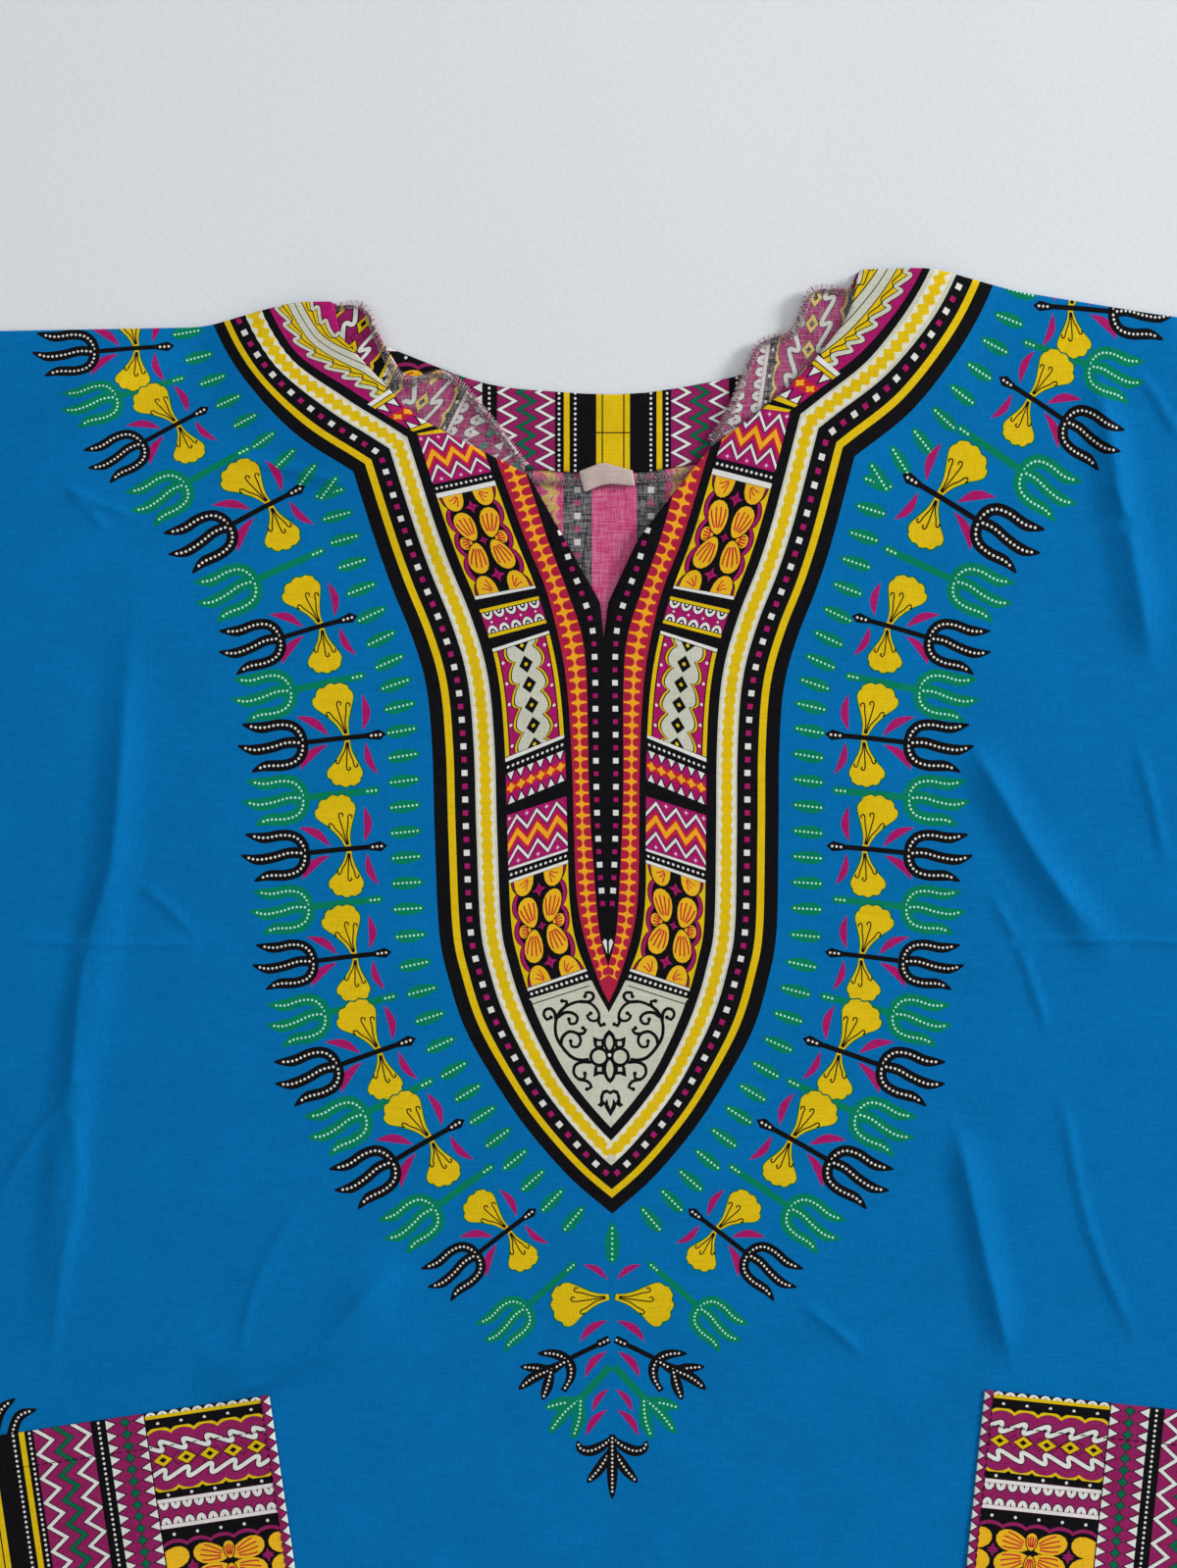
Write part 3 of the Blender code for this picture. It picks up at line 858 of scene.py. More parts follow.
    def star(self, dye: Dye, x: float, y: float, radius: float, waist: float = 0.42) -> None:
        """Lay a four-pointed star."""
        angle = np.arange(8) * math.pi / 4
        reach = np.where(np.arange(8) % 2 == 0, radius, radius * waist)
        self.within(dye, np.stack([x + reach * np.cos(angle), y + reach * np.sin(angle)], 1))


def paint_dotted(tile: Tile) -> None:
    """Paint a black strip with a row of white dots."""
    tile.fill(Dye.BLACK)
    tile.dots(Dye.WHITE, tile.height / 2, 2.5, 1.45)


def paint_chevrons(tile: Tile) -> None:
    """Paint white zigzags along both edges and a thick amber zigzag between them."""
    tile.fill(Dye.MAGENTA)
    period = tile.width / 3
    swing = 0.27 * tile.height
    for mid, base, way in ((0.21, 0.0, 1.0), (0.79, tile.height, -1.0)):
        y = mid * tile.height
        for x in tile.stops(period)[0] + (0.0 if way > 0 else -period / 2):
            tile.clover(Dye.PINK, max(x, 1.2), base + way * 1.9, 1.35)
            tile.shape(Dye.WHITE, disc(max(x, 1.2), base + way * 1.9, 0.55, 6))
        tile.zigzag(Dye.BLACK, y, swing, 0.135 * tile.height, period)
        tile.zigzag(Dye.WHITE, y, swing, 0.080 * tile.height, period)
    middle = 0.5 * tile.height
    tile.zigzag(Dye.RED, middle, swing, 0.27 * tile.height, period)
    tile.zigzag(Dye.AMBER, middle, swing, 0.14 * tile.height, period)


def paint_lace(tile: Tile) -> None:
    """Paint rows of white half rings along both edges of a magenta strip with white dots."""
    tile.fill(Dye.MAGENTA)
    for base, way in ((0.0, 1.0), (tile.height, -1.0)):
        for dye, rise, share in ((Dye.BLACK, 0.40, 1.0), (Dye.WHITE, 0.36, 0.88),
                                 (Dye.BLACK, 0.20, 0.46), (Dye.WHITE, 0.10, 0.22)):
            tile.scallops(dye, base, way * rise * tile.height, tile.width / 5, share)
    tile.dots(Dye.WHITE, tile.height / 2, tile.width / 4, 1.2)


def paint_clovers(tile: Tile) -> None:
    """Paint a row of amber clovers between two rows of white teeth on magenta."""
    tile.fill(Dye.MAGENTA)
    pitch = tile.width / 5.5
    for base, way in ((0.0, 1.0), (tile.height, -1.0)):
        tile.teeth(Dye.BLACK, base, way * 0.33 * tile.height, pitch, 0.98)
        tile.teeth(Dye.WHITE, base, way * 0.25 * tile.height, pitch, 0.68)
    tile.bar(Dye.RED, 0.36 * tile.height, 0.64 * tile.height)
    for x in tile.stops(pitch)[0]:
        tile.clover(Dye.RED, x, tile.height / 2, 3.1)
        tile.clover(Dye.AMBER, x, tile.height / 2, 2.35)


def lobed_side(tile: Tile, inset: float, depth: float, lobes: int, way: int) -> Points:
    """Return an upright line of lobes along one side of a tile.

    Args:
        tile: The tile.
        inset: How far the notches are from the side.
        depth: How far the lobes bulge towards the side.
        lobes: How many lobes there are.
        way: -1 for the left side and 1 for the right.

    Returns:
        The line from bottom to top.
    """
    y = np.linspace(0.0, tile.height, lobes * 8 + 1)
    bulge = np.abs(np.sin(np.pi * (y / tile.height * lobes + 0.5))) ** 0.7
    x = inset - depth * bulge
    return np.stack([x if way < 0 else tile.width - x, y], 1)


def lay_shell(tile: Tile, root: tuple[float, float], tip: tuple[float, float], wide: float) -> None:
    """Lay a fan shell that opens from its root to its tip, with curved red strokes.

    Args:
        tile: Where it is laid.
        root: Its narrow end.
        tip: The middle of its round end.
        wide: Its width.
    """
    start = np.asarray(root, float)
    axis = np.asarray(tip, float) - start
    long = float(np.linalg.norm(axis))
    axis /= long
    side = np.array([-axis[1], axis[0]])
    angle = np.linspace(-math.pi, math.pi, 17)[:-1]
    along = 0.5 + 0.5 * np.cos(angle)
    across = 0.5 * wide * np.sin(angle) * (0.62 + 0.38 * along)

    def fan(grow: float) -> Points:
        """Return the shell's outline, grown by a distance."""
        reach = long * along[:, None] + grow * np.cos(angle)[:, None]
        return start + axis * reach + side * (across + grow * np.sin(angle))[:, None]

    tile.within(Dye.BLACK, fan(0.55))
    tile.within(Dye.GOLD, fan(0.0))
    for share in (-0.66, -0.22, 0.22, 0.66):
        t = np.linspace(0.20, 0.84 - 0.18 * abs(share), 6)[:, None]
        bow = share * 0.46 * wide * np.sin(t * 2.1)
        stroke = ribbon(start + axis * long * t + side * bow, 0.75)
        if stroke.min() > 0.0 and (stroke.max(axis=0) < (tile.width, tile.height)).all():
            tile.shape(Dye.RED, stroke)


def paint_shells(tile: Tile) -> None:
    """Paint two columns of twisted shells and three magenta stars in a lobed frame."""
    tile.fill(Dye.YELLOW)
    for dye, inset in ((Dye.BLACK, 3.2), (Dye.MAGENTA, 3.7), (Dye.BLACK, 5.4)):
        left = lobed_side(tile, inset, 2.4, 4, -1)
        right = lobed_side(tile, inset, 2.4, 4, 1)
        tile.shape(dye, np.vstack([left, right[::-1]]))
    mid = tile.height / 2
    middle = tile.width / 2
    row = tile.height / 52
    for way in (-1, 1):
        pinch = middle + way * 4.0
        far = middle + way * 7.6
        lay_shell(tile, (pinch + way * 1.6, mid), (middle + way * 11.4, mid), 7.4)
        lay_shell(tile, (pinch, mid + 0.6), (far, mid + 16.0 * row), 11.2)
        lay_shell(tile, (pinch, mid - 0.6), (far, mid - 16.0 * row), 11.2)
        for up in (-1, 1):
            root = (middle + way * 3.2, mid + up * 26.0 * row)
            lay_half_shell(tile, root, way, up)
    for y, size in ((mid + 18.0 * row, 3.4), (mid, 2.2), (mid - 18.0 * row, 3.4)):
        tile.star(Dye.MAGENTA, middle, y, size)
        tile.shape(Dye.BLACK, disc(middle, y, 0.45, 6))


def lay_half_shell(tile: Tile, root: tuple[float, float], way: int, up: int) -> None:
    """Lay a half shell against the top or bottom edge of a tile.

    Args:
        tile: Where it is laid.
        root: Its inner corner on the edge.
        way: -1 for the left column and 1 for the right.
        up: 1 at the top edge and -1 at the bottom.
    """
    turn = np.linspace(0.0, math.pi, 9)
    for dye, grow in ((Dye.BLACK, 0.55), (Dye.GOLD, 0.0)):
        x = root[0] - way * 0.6 + way * (4.9 - (4.9 + grow) * np.cos(turn))
        y = root[1] - up * (8.4 + grow) * np.sin(turn) ** 0.8
        tile.shape(dye, np.stack([x, y], 1))
    for share in (0.30, 0.55, 0.8):
        t = np.linspace(0.15, 0.85, 5)
        x = root[0] + way * (1.0 + 7.0 * share * t + 0.8)
        y = root[1] - up * (7.4 * np.sin(t * math.pi / 1.8) * (1.15 - share))
        tile.shape(Dye.RED, ribbon(np.stack([x, y], 1), 0.55))


def totem_edge(tile: Tile, grow: float, way: int) -> Points:
    """Return one scrolled side of the totem, from bottom to top.

    Args:
        tile: The totem's tile.
        grow: How far outside its edge the line runs.
        way: -1 for the left side and 1 for the right.

    Returns:
        The line's points.
    """
    share = np.linspace(0.0, 1.0, 61)
    beat = share * 4.4 + (0.35 if way < 0 else 0.85)
    lobe = np.abs(np.sin(math.pi * beat))
    y = tile.height * share - 2.2 * (lobe - lobe[0]) * np.sin(math.pi * share)
    x = tile.width / 2 + way * (0.135 * tile.width + 0.140 * tile.width * lobe**0.6 + grow)
    return np.stack([x, y], 1)


def paint_totem(tile: Tile) -> None:
    """Paint a scrolled cream totem with black diamonds on dotted magenta."""
    tile.fill(Dye.YELLOW)
    tile.bar(Dye.BLACK, 0.0, tile.height, 2.0, tile.width - 2.0)
    tile.bar(Dye.MAGENTA, 0.0, tile.height, 2.6, tile.width - 2.6)
    steps = np.arange(5) + 0.5
    for way in (-1, 1):
        for step in steps:
            y = tile.height * (step + 0.1 * way) / 5
            tile.shape(Dye.WHITE, disc(tile.width / 2 + way * 0.375 * tile.width, y, 0.8, 6))
    for dye, grow in ((Dye.BLACK, 2.1), (Dye.YELLOW, 1.6), (Dye.BLACK, 0.6), (Dye.CREAM, 0.0)):
        sides = [totem_edge(tile, grow, -1), totem_edge(tile, grow, 1)[::-1]]
        tile.shape(dye, np.vstack(sides))
    pitch = tile.height / 5
    middle = tile.width / 2
    for index in range(6):
        y = index * pitch
        left, right = (middle - 3.6, y), (middle + 3.6, y)
        low, high = (middle, max(y - 4.3, 0.0)), (middle, min(y + 4.3, tile.height))
        diamond = [left, low, right, high] if 0 < index < 5 else [left, right, low if index else high]
        tile.shape(Dye.BLACK, np.array(diamond))
        tile.shape(Dye.YELLOW, disc(middle, min(max(y, 0.9), tile.height - 0.9), 0.95, 8))


def paint_zigzags(tile: Tile, repeat: float = 11.9) -> None:
    """Paint a green zigzag between two white ones on magenta."""
    tile.fill(Dye.MULBERRY)
    period = tile.width / max(1, round(tile.width / repeat))
    rise = tile.height
    for mid, swing in ((0.18, 0.27), (0.82, 0.27)):
        tile.zigzag(Dye.BLACK, mid * rise, swing * rise, 0.145 * rise, period)
        tile.zigzag(Dye.WHITE, mid * rise, swing * rise, 0.095 * rise, period)
    tile.zigzag(Dye.BLACK, 0.5 * rise, 0.26 * rise, 0.135 * rise, period)
    tile.zigzag(Dye.GREEN, 0.5 * rise, 0.26 * rise, 0.105 * rise, period)
    for side in (0.0, rise):
        tile.bar(Dye.BLACK, max(side - 0.35, 0.0), min(side + 0.35, rise))


def paint_green_diamonds(tile: Tile) -> None:
    """Paint a row of green diamonds between two rows of white teeth on magenta."""
    tile.fill(Dye.MULBERRY)
    for base, way in ((0.0, 1.0), (tile.height, -1.0)):
        tile.teeth(Dye.BLACK, base, way * 0.30 * tile.height, 5.9, 1.0)
        tile.teeth(Dye.WHITE, base, way * 0.24 * tile.height, 5.9, 0.80)
    for x in tile.stops(5.9)[0]:
        tile.star(Dye.BLACK, x, tile.height / 2, 3.0, 0.62)
        tile.star(Dye.GREEN, x, tile.height / 2, 2.5, 0.60)


def paint_dot_rows(tile: Tile) -> None:
    """Paint a black band with a yellow line between two rows of white dots."""
    tile.fill(Dye.BLACK)
    tile.bar(Dye.YELLOW, 0.66 * tile.height, 0.80 * tile.height)
    for share in (0.52, 0.92):
        tile.dots(Dye.WHITE, share * tile.height, 2.5, 1.45)


def paint_yellow_stripe(tile: Tile) -> None:
    """Paint half of the broad yellow stripe, with a thin black line along it."""
    tile.fill(Dye.YELLOW)
    tile.bar(Dye.BLACK, 0.60 * tile.height, 0.68 * tile.height)


def paint_banded_block(tile: Tile) -> None:
    """Paint the level bands of the block, from its top down to the middle of its shells."""
    top = tile.height
    pitch = 12.7
    lobe = 5.8
    tile.fill(Dye.MULBERRY)
    tile.bar(Dye.BLACK, top - 9.2, top)
    tile.fringe(top - 1.6, 1.6, lobe)
    tile.bar(Dye.YELLOW, top - 3.3, top - 1.6)
    tile.dots(Dye.WHITE, top - 5.8, pitch, 1.7)
    for base, way in ((top - 10.4, 1.0), (top - 37.2, -1.0)):
        edge = base + way * 2.4
        tile.arches(Dye.BLACK, base + way * 0.5, way * 2.2, 2.9, pitch)
        tile.arches(Dye.YELLOW, base, way * 2.2, 1.6, pitch)
        tile.bar(Dye.BLACK, min(edge, edge + way * 1.2), max(edge, edge + way * 1.2))
    for y, way in ((top - 17.0, 1.0), (top - 30.8, -1.0)):
        line = tile.waves(y, way * 4.6, pitch, 0.23)
        tile.run(Dye.BLACK, line, 3.0)
        tile.run(Dye.WHITE, line, 2.0)
    for way in (0.0, 1.0):
        tile.zigzag(Dye.BLACK, top - 23.8, 6.6, 0.5, pitch, way)
    for dye, wide, tall in ((Dye.BLACK, 10.8, 7.6), (Dye.YELLOW, 9.4, 6.4), (Dye.BLACK, 3.8, 2.8)):
        tile.diamonds(dye, top - 23.8, pitch, wide, tall)
    tile.bar(Dye.BLACK, top - 42.6, top - 39.2)
    tile.dots(Dye.WHITE, top - 41.0, pitch, 1.7)
    tile.bar(Dye.WHITE, top - 44.6, top - 42.8)
    tile.fringe(top - 44.8, -3.4, lobe)
    tile.fringe(top - 55.2, 3.4, lobe)
    tile.bar(Dye.WHITE, top - 57.2, top - 55.4)
    tile.bar(Dye.BLACK, 0.0, top - 57.4)
    tile.dots(Dye.WHITE, top - 60.4, pitch, 1.7)
    tile.arches(Dye.MULBERRY, top - 65.6, 2.0, 1.8, pitch)
    for x in np.arange(-10.6, tile.width + 20.0, 37.0):
        for way in (-1, 1):
            lay_shell(tile, (x + way * 0.8, top - 74.4), (x + way * 17.4, top - 70.0), 12.4)
        lay_shell(tile, (x, top - 75.8), (x, top - 67.2), 6.4)
        if 3.0 < x + 18.5 < tile.width - 3.0:
            tile.star(Dye.MULBERRY, x + 18.5, 0.6, 3.0)


# The bands that stand upright, by how far they are from the middle of the border print
UPRIGHT_BANDS = (
    (0.0, 8.2, paint_yellow_stripe),
    (8.2, 28.0, paint_dot_rows),
    (28.0, 57.0, paint_zigzags),
    (57.0, 64.0, paint_dotted),
    (64.0, 83.0, paint_green_diamonds),
)


@dataclass(frozen=True)
class BorderPrint:
    """The banded print that the pockets and the neck facings are cut from."""

    canvas: PrintCanvas
    block_height: float = 77.0
    zigzag: float = 11.9

    def upright(self, place: Place, low: float, high: float) -> None:
        """Paint the upright bands over a strip.

        Args:
            place: Where the distance from the print's middle and the height lie on the cloth.
            low: The height of the strip's foot.
            high: The height of its head.
        """
        for near, far, painter in UPRIGHT_BANDS:
            whole = Tile(self.canvas, far, high - low, lambda points: place(points + (0.0, low)))
            strip = whole.part(near, 0.0, far, high - low).turned()
            if painter is paint_zigzags:
                paint_zigzags(strip, self.zigzag)
            else:
                painter(strip)

    def block(self, place: Place, left: float, right: float, top: float, turned_over: bool) -> None:
        """Paint half of the banded block, from its top down to the middle of its shells.

        Args:
            place: Where the border print's places lie on the cloth.
            left: Its left side.
            right: Its right side.
            top: The height of the block's top.
            turned_over: True to paint the other half, which is turned over and lies below.
        """
        low = top - self.block_height

        def lie(points: Points) -> Points:
            """Return the cloth places of the block's places."""
            x, y = points.T
            flipped = low - y if turned_over else low + y
            return place(np.stack([x + left, flipped], 1))

        paint_banded_block(Tile(self.canvas, right - left, self.block_height, lie))


# ---------------------------------------------------------------- the neck print


class PanelKind(Enum):
    """What the panels round the neck hold."""

    PLAIN_WHITE = "plain white"
    PLAIN_YELLOW = "plain yellow"
    DOTTED = "dotted"
    CHEVRONS = "chevrons"
    SHELLS = "shells"
    LACE = "lace"
    TOTEM = "totem"
    CLOVERS = "clovers"


PAINTERS: dict[PanelKind, Callable[[Tile], None]] = {
    PanelKind.PLAIN_WHITE: lambda tile: tile.fill(Dye.WHITE),
    PanelKind.PLAIN_YELLOW: lambda tile: tile.fill(Dye.YELLOW),
    PanelKind.DOTTED: paint_dotted,
    PanelKind.CHEVRONS: paint_chevrons,
    PanelKind.SHELLS: paint_shells,
    PanelKind.LACE: paint_lace,
    PanelKind.TOTEM: paint_totem,
    PanelKind.CLOVERS: paint_clovers,
}


@dataclass(frozen=True)
class NeckPanel:
    """A panel of the neck print.

    Attributes:
        kind: What it holds.
        top: The height of its top at its outer end.
        top_rise: How much higher the top's inner end is.
        bottom: The height of its bottom at its outer end.
        bottom_rise: How much higher the bottom's inner end is.
    """

    kind: PanelKind
    top: float
    top_rise: float
    bottom: float
    bottom_rise: float


NECK_PANELS = tuple(NeckPanel(PanelKind[kind], *sizes) for kind, *sizes in (
    ("CHEVRONS", 318.6, 3.4, 292.2, 6.6),
    ("DOTTED", 292.0, 6.7, 287.3, 6.9),
    ("PLAIN_WHITE", 287.1, 6.9, 284.7, 6.8),
    ("SHELLS", 284.5, 6.8, 235.0, 5.2),
    ("PLAIN_WHITE", 234.8, 5.2, 233.2, 5.6),
    ("PLAIN_YELLOW", 228.3, 6.6, 226.7, 6.7),
    ("LACE", 226.3, 6.7, 216.5, 7.3),
    ("PLAIN_YELLOW", 216.1, 7.3, 214.5, 7.4),
    ("PLAIN_WHITE", 209.2, 8.9, 207.6, 9.1),
    ("TOTEM", 207.2, 9.1, 156.3, 11.1),
    ("PLAIN_WHITE", 155.9, 11.4, 153.9, 11.8),
    ("DOTTED", 153.7, 11.8, 148.3, 11.8),
    ("CLOVERS", 148.1, 11.8, 132.9, 12.3),
    ("CHEVRONS", 127.9, 9.3, 102.4, 9.5),
    ("PLAIN_WHITE", 102.2, 9.5, 100.9, 9.6),
    ("DOTTED", 100.7, 9.6, 96.4, 9.9),
    ("PLAIN_WHITE", 96.2, 9.9, 94.7, 9.9),
    ("SHELLS", 94.5, 9.9, 43.6, 9.7),
    ("PLAIN_WHITE", 43.3, 9.7, 42.0, 9.8),
    ("DOTTED", 41.8, 9.6, 38.7, 9.2),
))

# The panels that fan out where the print turns, by how far along the turn they start and end
FAN_PANELS = (
    (PanelKind.PLAIN_WHITE, 0.0, 2.3),
    (PanelKind.PLAIN_YELLOW, 2.8, 4.6),
    (PanelKind.CLOVERS, 5.1, 24.4),
    (PanelKind.PLAIN_YELLOW, 24.9, 26.8),
    (PanelKind.PLAIN_YELLOW, 28.8, 30.6),
)


@dataclass
class NeckPrint:
    """The placket-shaped print round the neck, drawn as one half and mirrored.

    Its own coordinates are the distance from its centre line and the height on the shirt, both
    in millimetres.
    """

    canvas: PrintCanvas
    shoulder_knots: tuple = (
        (197.0, 418.0), (195.4, 397.0), (189.8, 376.0), (175.4, 349.6), (151.0, 320.4), (122.2, 299.2))
    side_knots: tuple = (
        (122.2, 299.2), (111.8, 263.0), (103.7, 239.0), (94.1, 215.0), (87.4, 191.0), (84.8, 160.0),
        (84.0, 119.0), (82.4, 71.0), (77.8, 47.0), (70.1, 23.0), (56.9, -1.0), (41.0, -25.0),
        (20.4, -49.0), (0.0, -66.8), (-20.4, -84.6))
    inner_knots: tuple = (
        (121.9, 383.5), (105.1, 367.5), (75.4, 348.4), (67.7, 343.1), (60.5, 316.5), (51.8, 289.7),
        (43.2, 263.7), (33.6, 239.0), (26.6, 215.0), (22.3, 191.0), (20.0, 160.0), (19.2, 119.0),
        (18.6, 88.0), (15.6, 66.0), (8.2, 47.0), (0.0, 31.6))
    heart_knots: tuple = (
        (66.0, 345.0), (51.8, 303.6), (38.6, 263.7), (28.8, 239.0), (22.6, 215.0), (18.7, 191.0),
        (16.6, 155.0), (15.9, 119.0), (15.0, 90.0), (12.0, 70.0), (4.8, 47.0), (0.0, 36.4))
    core_knots: tuple = (
        (54.0, 345.0), (39.8, 303.6), (27.8, 263.7), (18.7, 239.0), (11.2, 216.0), (8.9, 191.0),
        (8.4, 143.0), (6.8, 107.0), (4.1, 71.0), (0.0, 54.2))
    stud_knots: tuple = (
        (31.5, 300.0), (27.4, 283.3), (21.0, 266.0), (16.4, 250.0), (10.6, 235.0), (6.2, 220.0),
        (4.9, 200.0), (4.9, 167.0), (4.6, 130.0), (3.4, 100.0), (2.1, 82.0))
    panel_start: float = 35.5

    def __post_init__(self) -> None:
        """Draw the lines that the rest is measured from."""
        shoulder = spline(self.shoulder_knots, 4.0)
        side = spline(self.side_knots, 4.0)
        self.outer = np.vstack([shoulder[:-1], side])
        self.start = {side: self.inward(self.panel_start, side) for side in (-1, 1)}
        self.inner = spline(self.inner_knots, 4.0)
        self.heart = spline(self.heart_knots, 4.0)
        self.core = spline(self.core_knots, 4.0)

    @staticmethod
    def middle(y: np.ndarray) -> np.ndarray:
        """Return where the print's centre line lies, across the shirt, at each height."""
        down = np.clip(287.0 - y, 0.0, 354.0) / 1000
        return -3.1 + 4.94 * down + 18.76 * down**2

    def laid(self, side: int) -> Place:
        """Return where one half lies on the cloth, -1 for the left and 1 for the right."""

        def place(points: Points) -> Points:
            """Return the cloth places of print places."""
            d, y = points.T
            x = self.middle(y) + side * d
            return np.stack([x, y + side * 10.6 * eased((y - 240.0) / 150.0) * np.tanh(d / 30)], 1)

        return place

    @staticmethod
    def narrowing(y: np.ndarray, side: int) -> np.ndarray:
        """Return how much narrower one half's bands are in the point and over its shoulder."""
        over = 0.02 if side > 0 else 0.20
        return (1 - 0.11 * eased((30.0 - y) / 50.0)) * (1 - over * eased((y - 315.0) / 35.0))

    def inward(self, gap: float, side: int, spread: float = 0.0) -> Points:
        """Return one half's outer edge moved towards the centre line and cut off there.

        Args:
            gap: How far it is moved.
            side: -1 for the left half and 1 for the right.
            spread: How much further it is moved over the right shoulder.

        Returns:
            The moved line, from the top down.
        """
        y = self.outer[:, 1]
        more = spread * eased((y - 300.0) / 60.0) if side > 0 else 0.0
        line = beside(self.outer, -(gap + more) * self.narrowing(y, side))
        beyond = np.flatnonzero(line[:, 0] <= 0)
        end = int(beyond[0])
        first, last = line[end - 1], line[end]
        share = first[0] / (first[0] - last[0])
        return np.vstack([line[:end], first + (last - first) * share])

    def both(self, dye: Dye, right: Points, left: Points | None = None) -> None:
        """Lay a shape between two lines from the top to the centre line, mirrored if only one."""
        whole = np.vstack([self.laid(1)(right), self.laid(-1)(right if left is None else left)[::-1]])
        _same, first = np.unique(np.round(whole, 4), axis=0, return_index=True)
        self.canvas.lay(dye, whole[np.sort(first)])

    def draw(self) -> None:
        """Draw the whole neck print."""
        for dye, gap, spread in ((Dye.BLACK, 0.0, 0.0), (Dye.YELLOW, 6.7, 0.0), (Dye.BLACK, 10.3, 0.0),
                                 (Dye.CREAM, 20.4, -1.4), (Dye.BLACK, 30.5, 1.4)):
            self.both(dye, self.inward(gap, 1, spread), self.inward(gap, -1, spread))
        for side in (-1, 1):
            self.draw_chain(side)
            self.draw_studs(side, self.inward(15.35, side), 6.5, 2.9, 2.6, from_end=True)
        self.draw_tip_field()
        for side in (-1, 1):
            self.draw_shoulder_bands(side)
            self.draw_fan(side)
            for panel in NECK_PANELS:
                PAINTERS[panel.kind](self.tile(panel, side))
        self.both(Dye.BLACK, self.inner[self.inner[:, 1] < 344.0])
        self.both(Dye.CRIMSON, self.heart)
        for side in (-1, 1):
            self.draw_scallop_band(side)
        self.both(Dye.BLACK, self.core)
        for side in (-1, 1):
            self.draw_studs(side, spline(self.stud_knots, 3.0), 6.35, 2.7, 2.3, from_end=False)
            drop = np.array([(0.5, 60.2), (2.6, 66.0), (1.6, 67.6), (0.5, 66.6)])
            self.canvas.lay(Dye.WHITE, self.laid(side)(drop))

    def tile(self, panel: NeckPanel, side: int) -> Tile:
        """Return the tile of a panel on one side."""
        start = self.start[side][::-1]
        inner = self.inner[::-1]
        height = panel.top - panel.bottom
        width = 29.6 if panel.top < 300.0 else 31.0
        half = self.laid(side)

        def place(points: Points) -> Points:
            """Return the cloth places of tile places."""
            u = (points[:, 0] / width)[:, None]
            v = 1 - points[:, 1] / height
            outer_y = panel.top + (panel.bottom - panel.top) * v
            inner_y = outer_y + panel.top_rise + (panel.bottom_rise - panel.top_rise) * v
            outer = np.stack([np.interp(outer_y, start[:, 1], start[:, 0]), outer_y], 1)
            inside_edge = np.stack([np.interp(inner_y, inner[:, 1], inner[:, 0]), inner_y], 1)
            return half(outer * (1 - u) + inside_edge * u)

        return Tile(self.canvas, width, height, place)

    def draw_chain(self, side: int) -> None:
        """Draw the jagged yellow chain and its pale scallops along the cream band."""
        line = self.inward(25.4, side)
        total = lengths(line)[-1]
        where = np.linspace(0.0, total, round(total / 0.66))
        even = np.ones(13) / 13
        padded = np.pad(at_length(line, where), ((6, 6), (0, 0)), "reflect", reflect_type="odd")
        middle = np.stack([np.convolve(padded[:, axis], even, "valid") for axis in (0, 1)], 1)
        beat = where / 5.3 * 2 * math.pi
        rough = eased((middle[:, 1] - 285.0) / 45.0)
        pale = 7.6 + 0.9 * np.abs(np.sin(beat / 2 + 0.6))
        jag = 5.0 + (0.9 + 1.2 * rough) * np.cos(beat) + 0.55 * np.sign(np.sin(4 * beat))
        place = self.laid(side)
        self.canvas.lay(Dye.PALE_CREAM, place(ribbon(middle, pale)))
        self.canvas.lay(Dye.YELLOW, place(ribbon(middle, jag)))

    def draw_studs(self, side: int, line: Points, pitch: float, white: float, magenta: float,
                   from_end: bool) -> None:
        """Draw alternate white and magenta squares along a line.

        Args:
            side: -1 for the left half and 1 for the right.
            line: The line that they follow.
            pitch: How far apart they are.
            white: The size of the white ones.
            magenta: The size of the magenta ones.
            from_end: True to count from the line's end.
        """
        run = line[::-1] if from_end else line
        where = np.arange(0.55 * pitch, lengths(run)[-1], pitch)
        spots = at_length(run, where)
        heading = at_length(run, where + 0.5) - at_length(run, where - 0.5)
        for index, (spot, along) in enumerate(zip(spots, heading)):
            size = (white if index % 2 else magenta) / 2
            ahead = along / max(float(np.linalg.norm(along)), 1e-9) * size
            across = np.array([-ahead[1], ahead[0]])
            square = np.array([spot + ahead + across, spot - ahead + across, spot - ahead - across,
                               spot + ahead - across])
            self.canvas.lay(Dye.WHITE if index % 2 else Dye.MAGENTA, self.laid(side)(square))

    def draw_scallop_band(self, side: int) -> None:
        """Draw the amber stars between rows of crimson lobes, between heart and core."""
        line = self.heart[self.heart[:, 1] > 46.0]
        count = round(lengths(line)[-1] / 5.5)
        share = np.arange(count * 8 + 1) / (count * 8)
        where = share * lengths(line)[-1]
        outer = at_length(line, where)
        width, _share = gap_to_line(outer, self.core)
        ahead = at_length(line, where + 6) - at_length(line, where - 6)
        ahead /= np.linalg.norm(ahead, axis=1, keepdims=True)
        inner = outer + np.stack([ahead[:, 1], -ahead[:, 0]], 1) * width[:, None]
        inner[:, 0] = np.maximum(inner[:, 0], 0.2)
        half = self.laid(side)

        def across(row: np.ndarray, depth: np.ndarray) -> Points:
            """Return places at a share of the way from the outer line to the inner."""
            first = np.stack([np.interp(row, share, outer[:, k]) for k in (0, 1)], 1)
            last = np.stack([np.interp(row, share, inner[:, k]) for k in (0, 1)], 1)
            return half(first + (last - first) * depth[:, None])

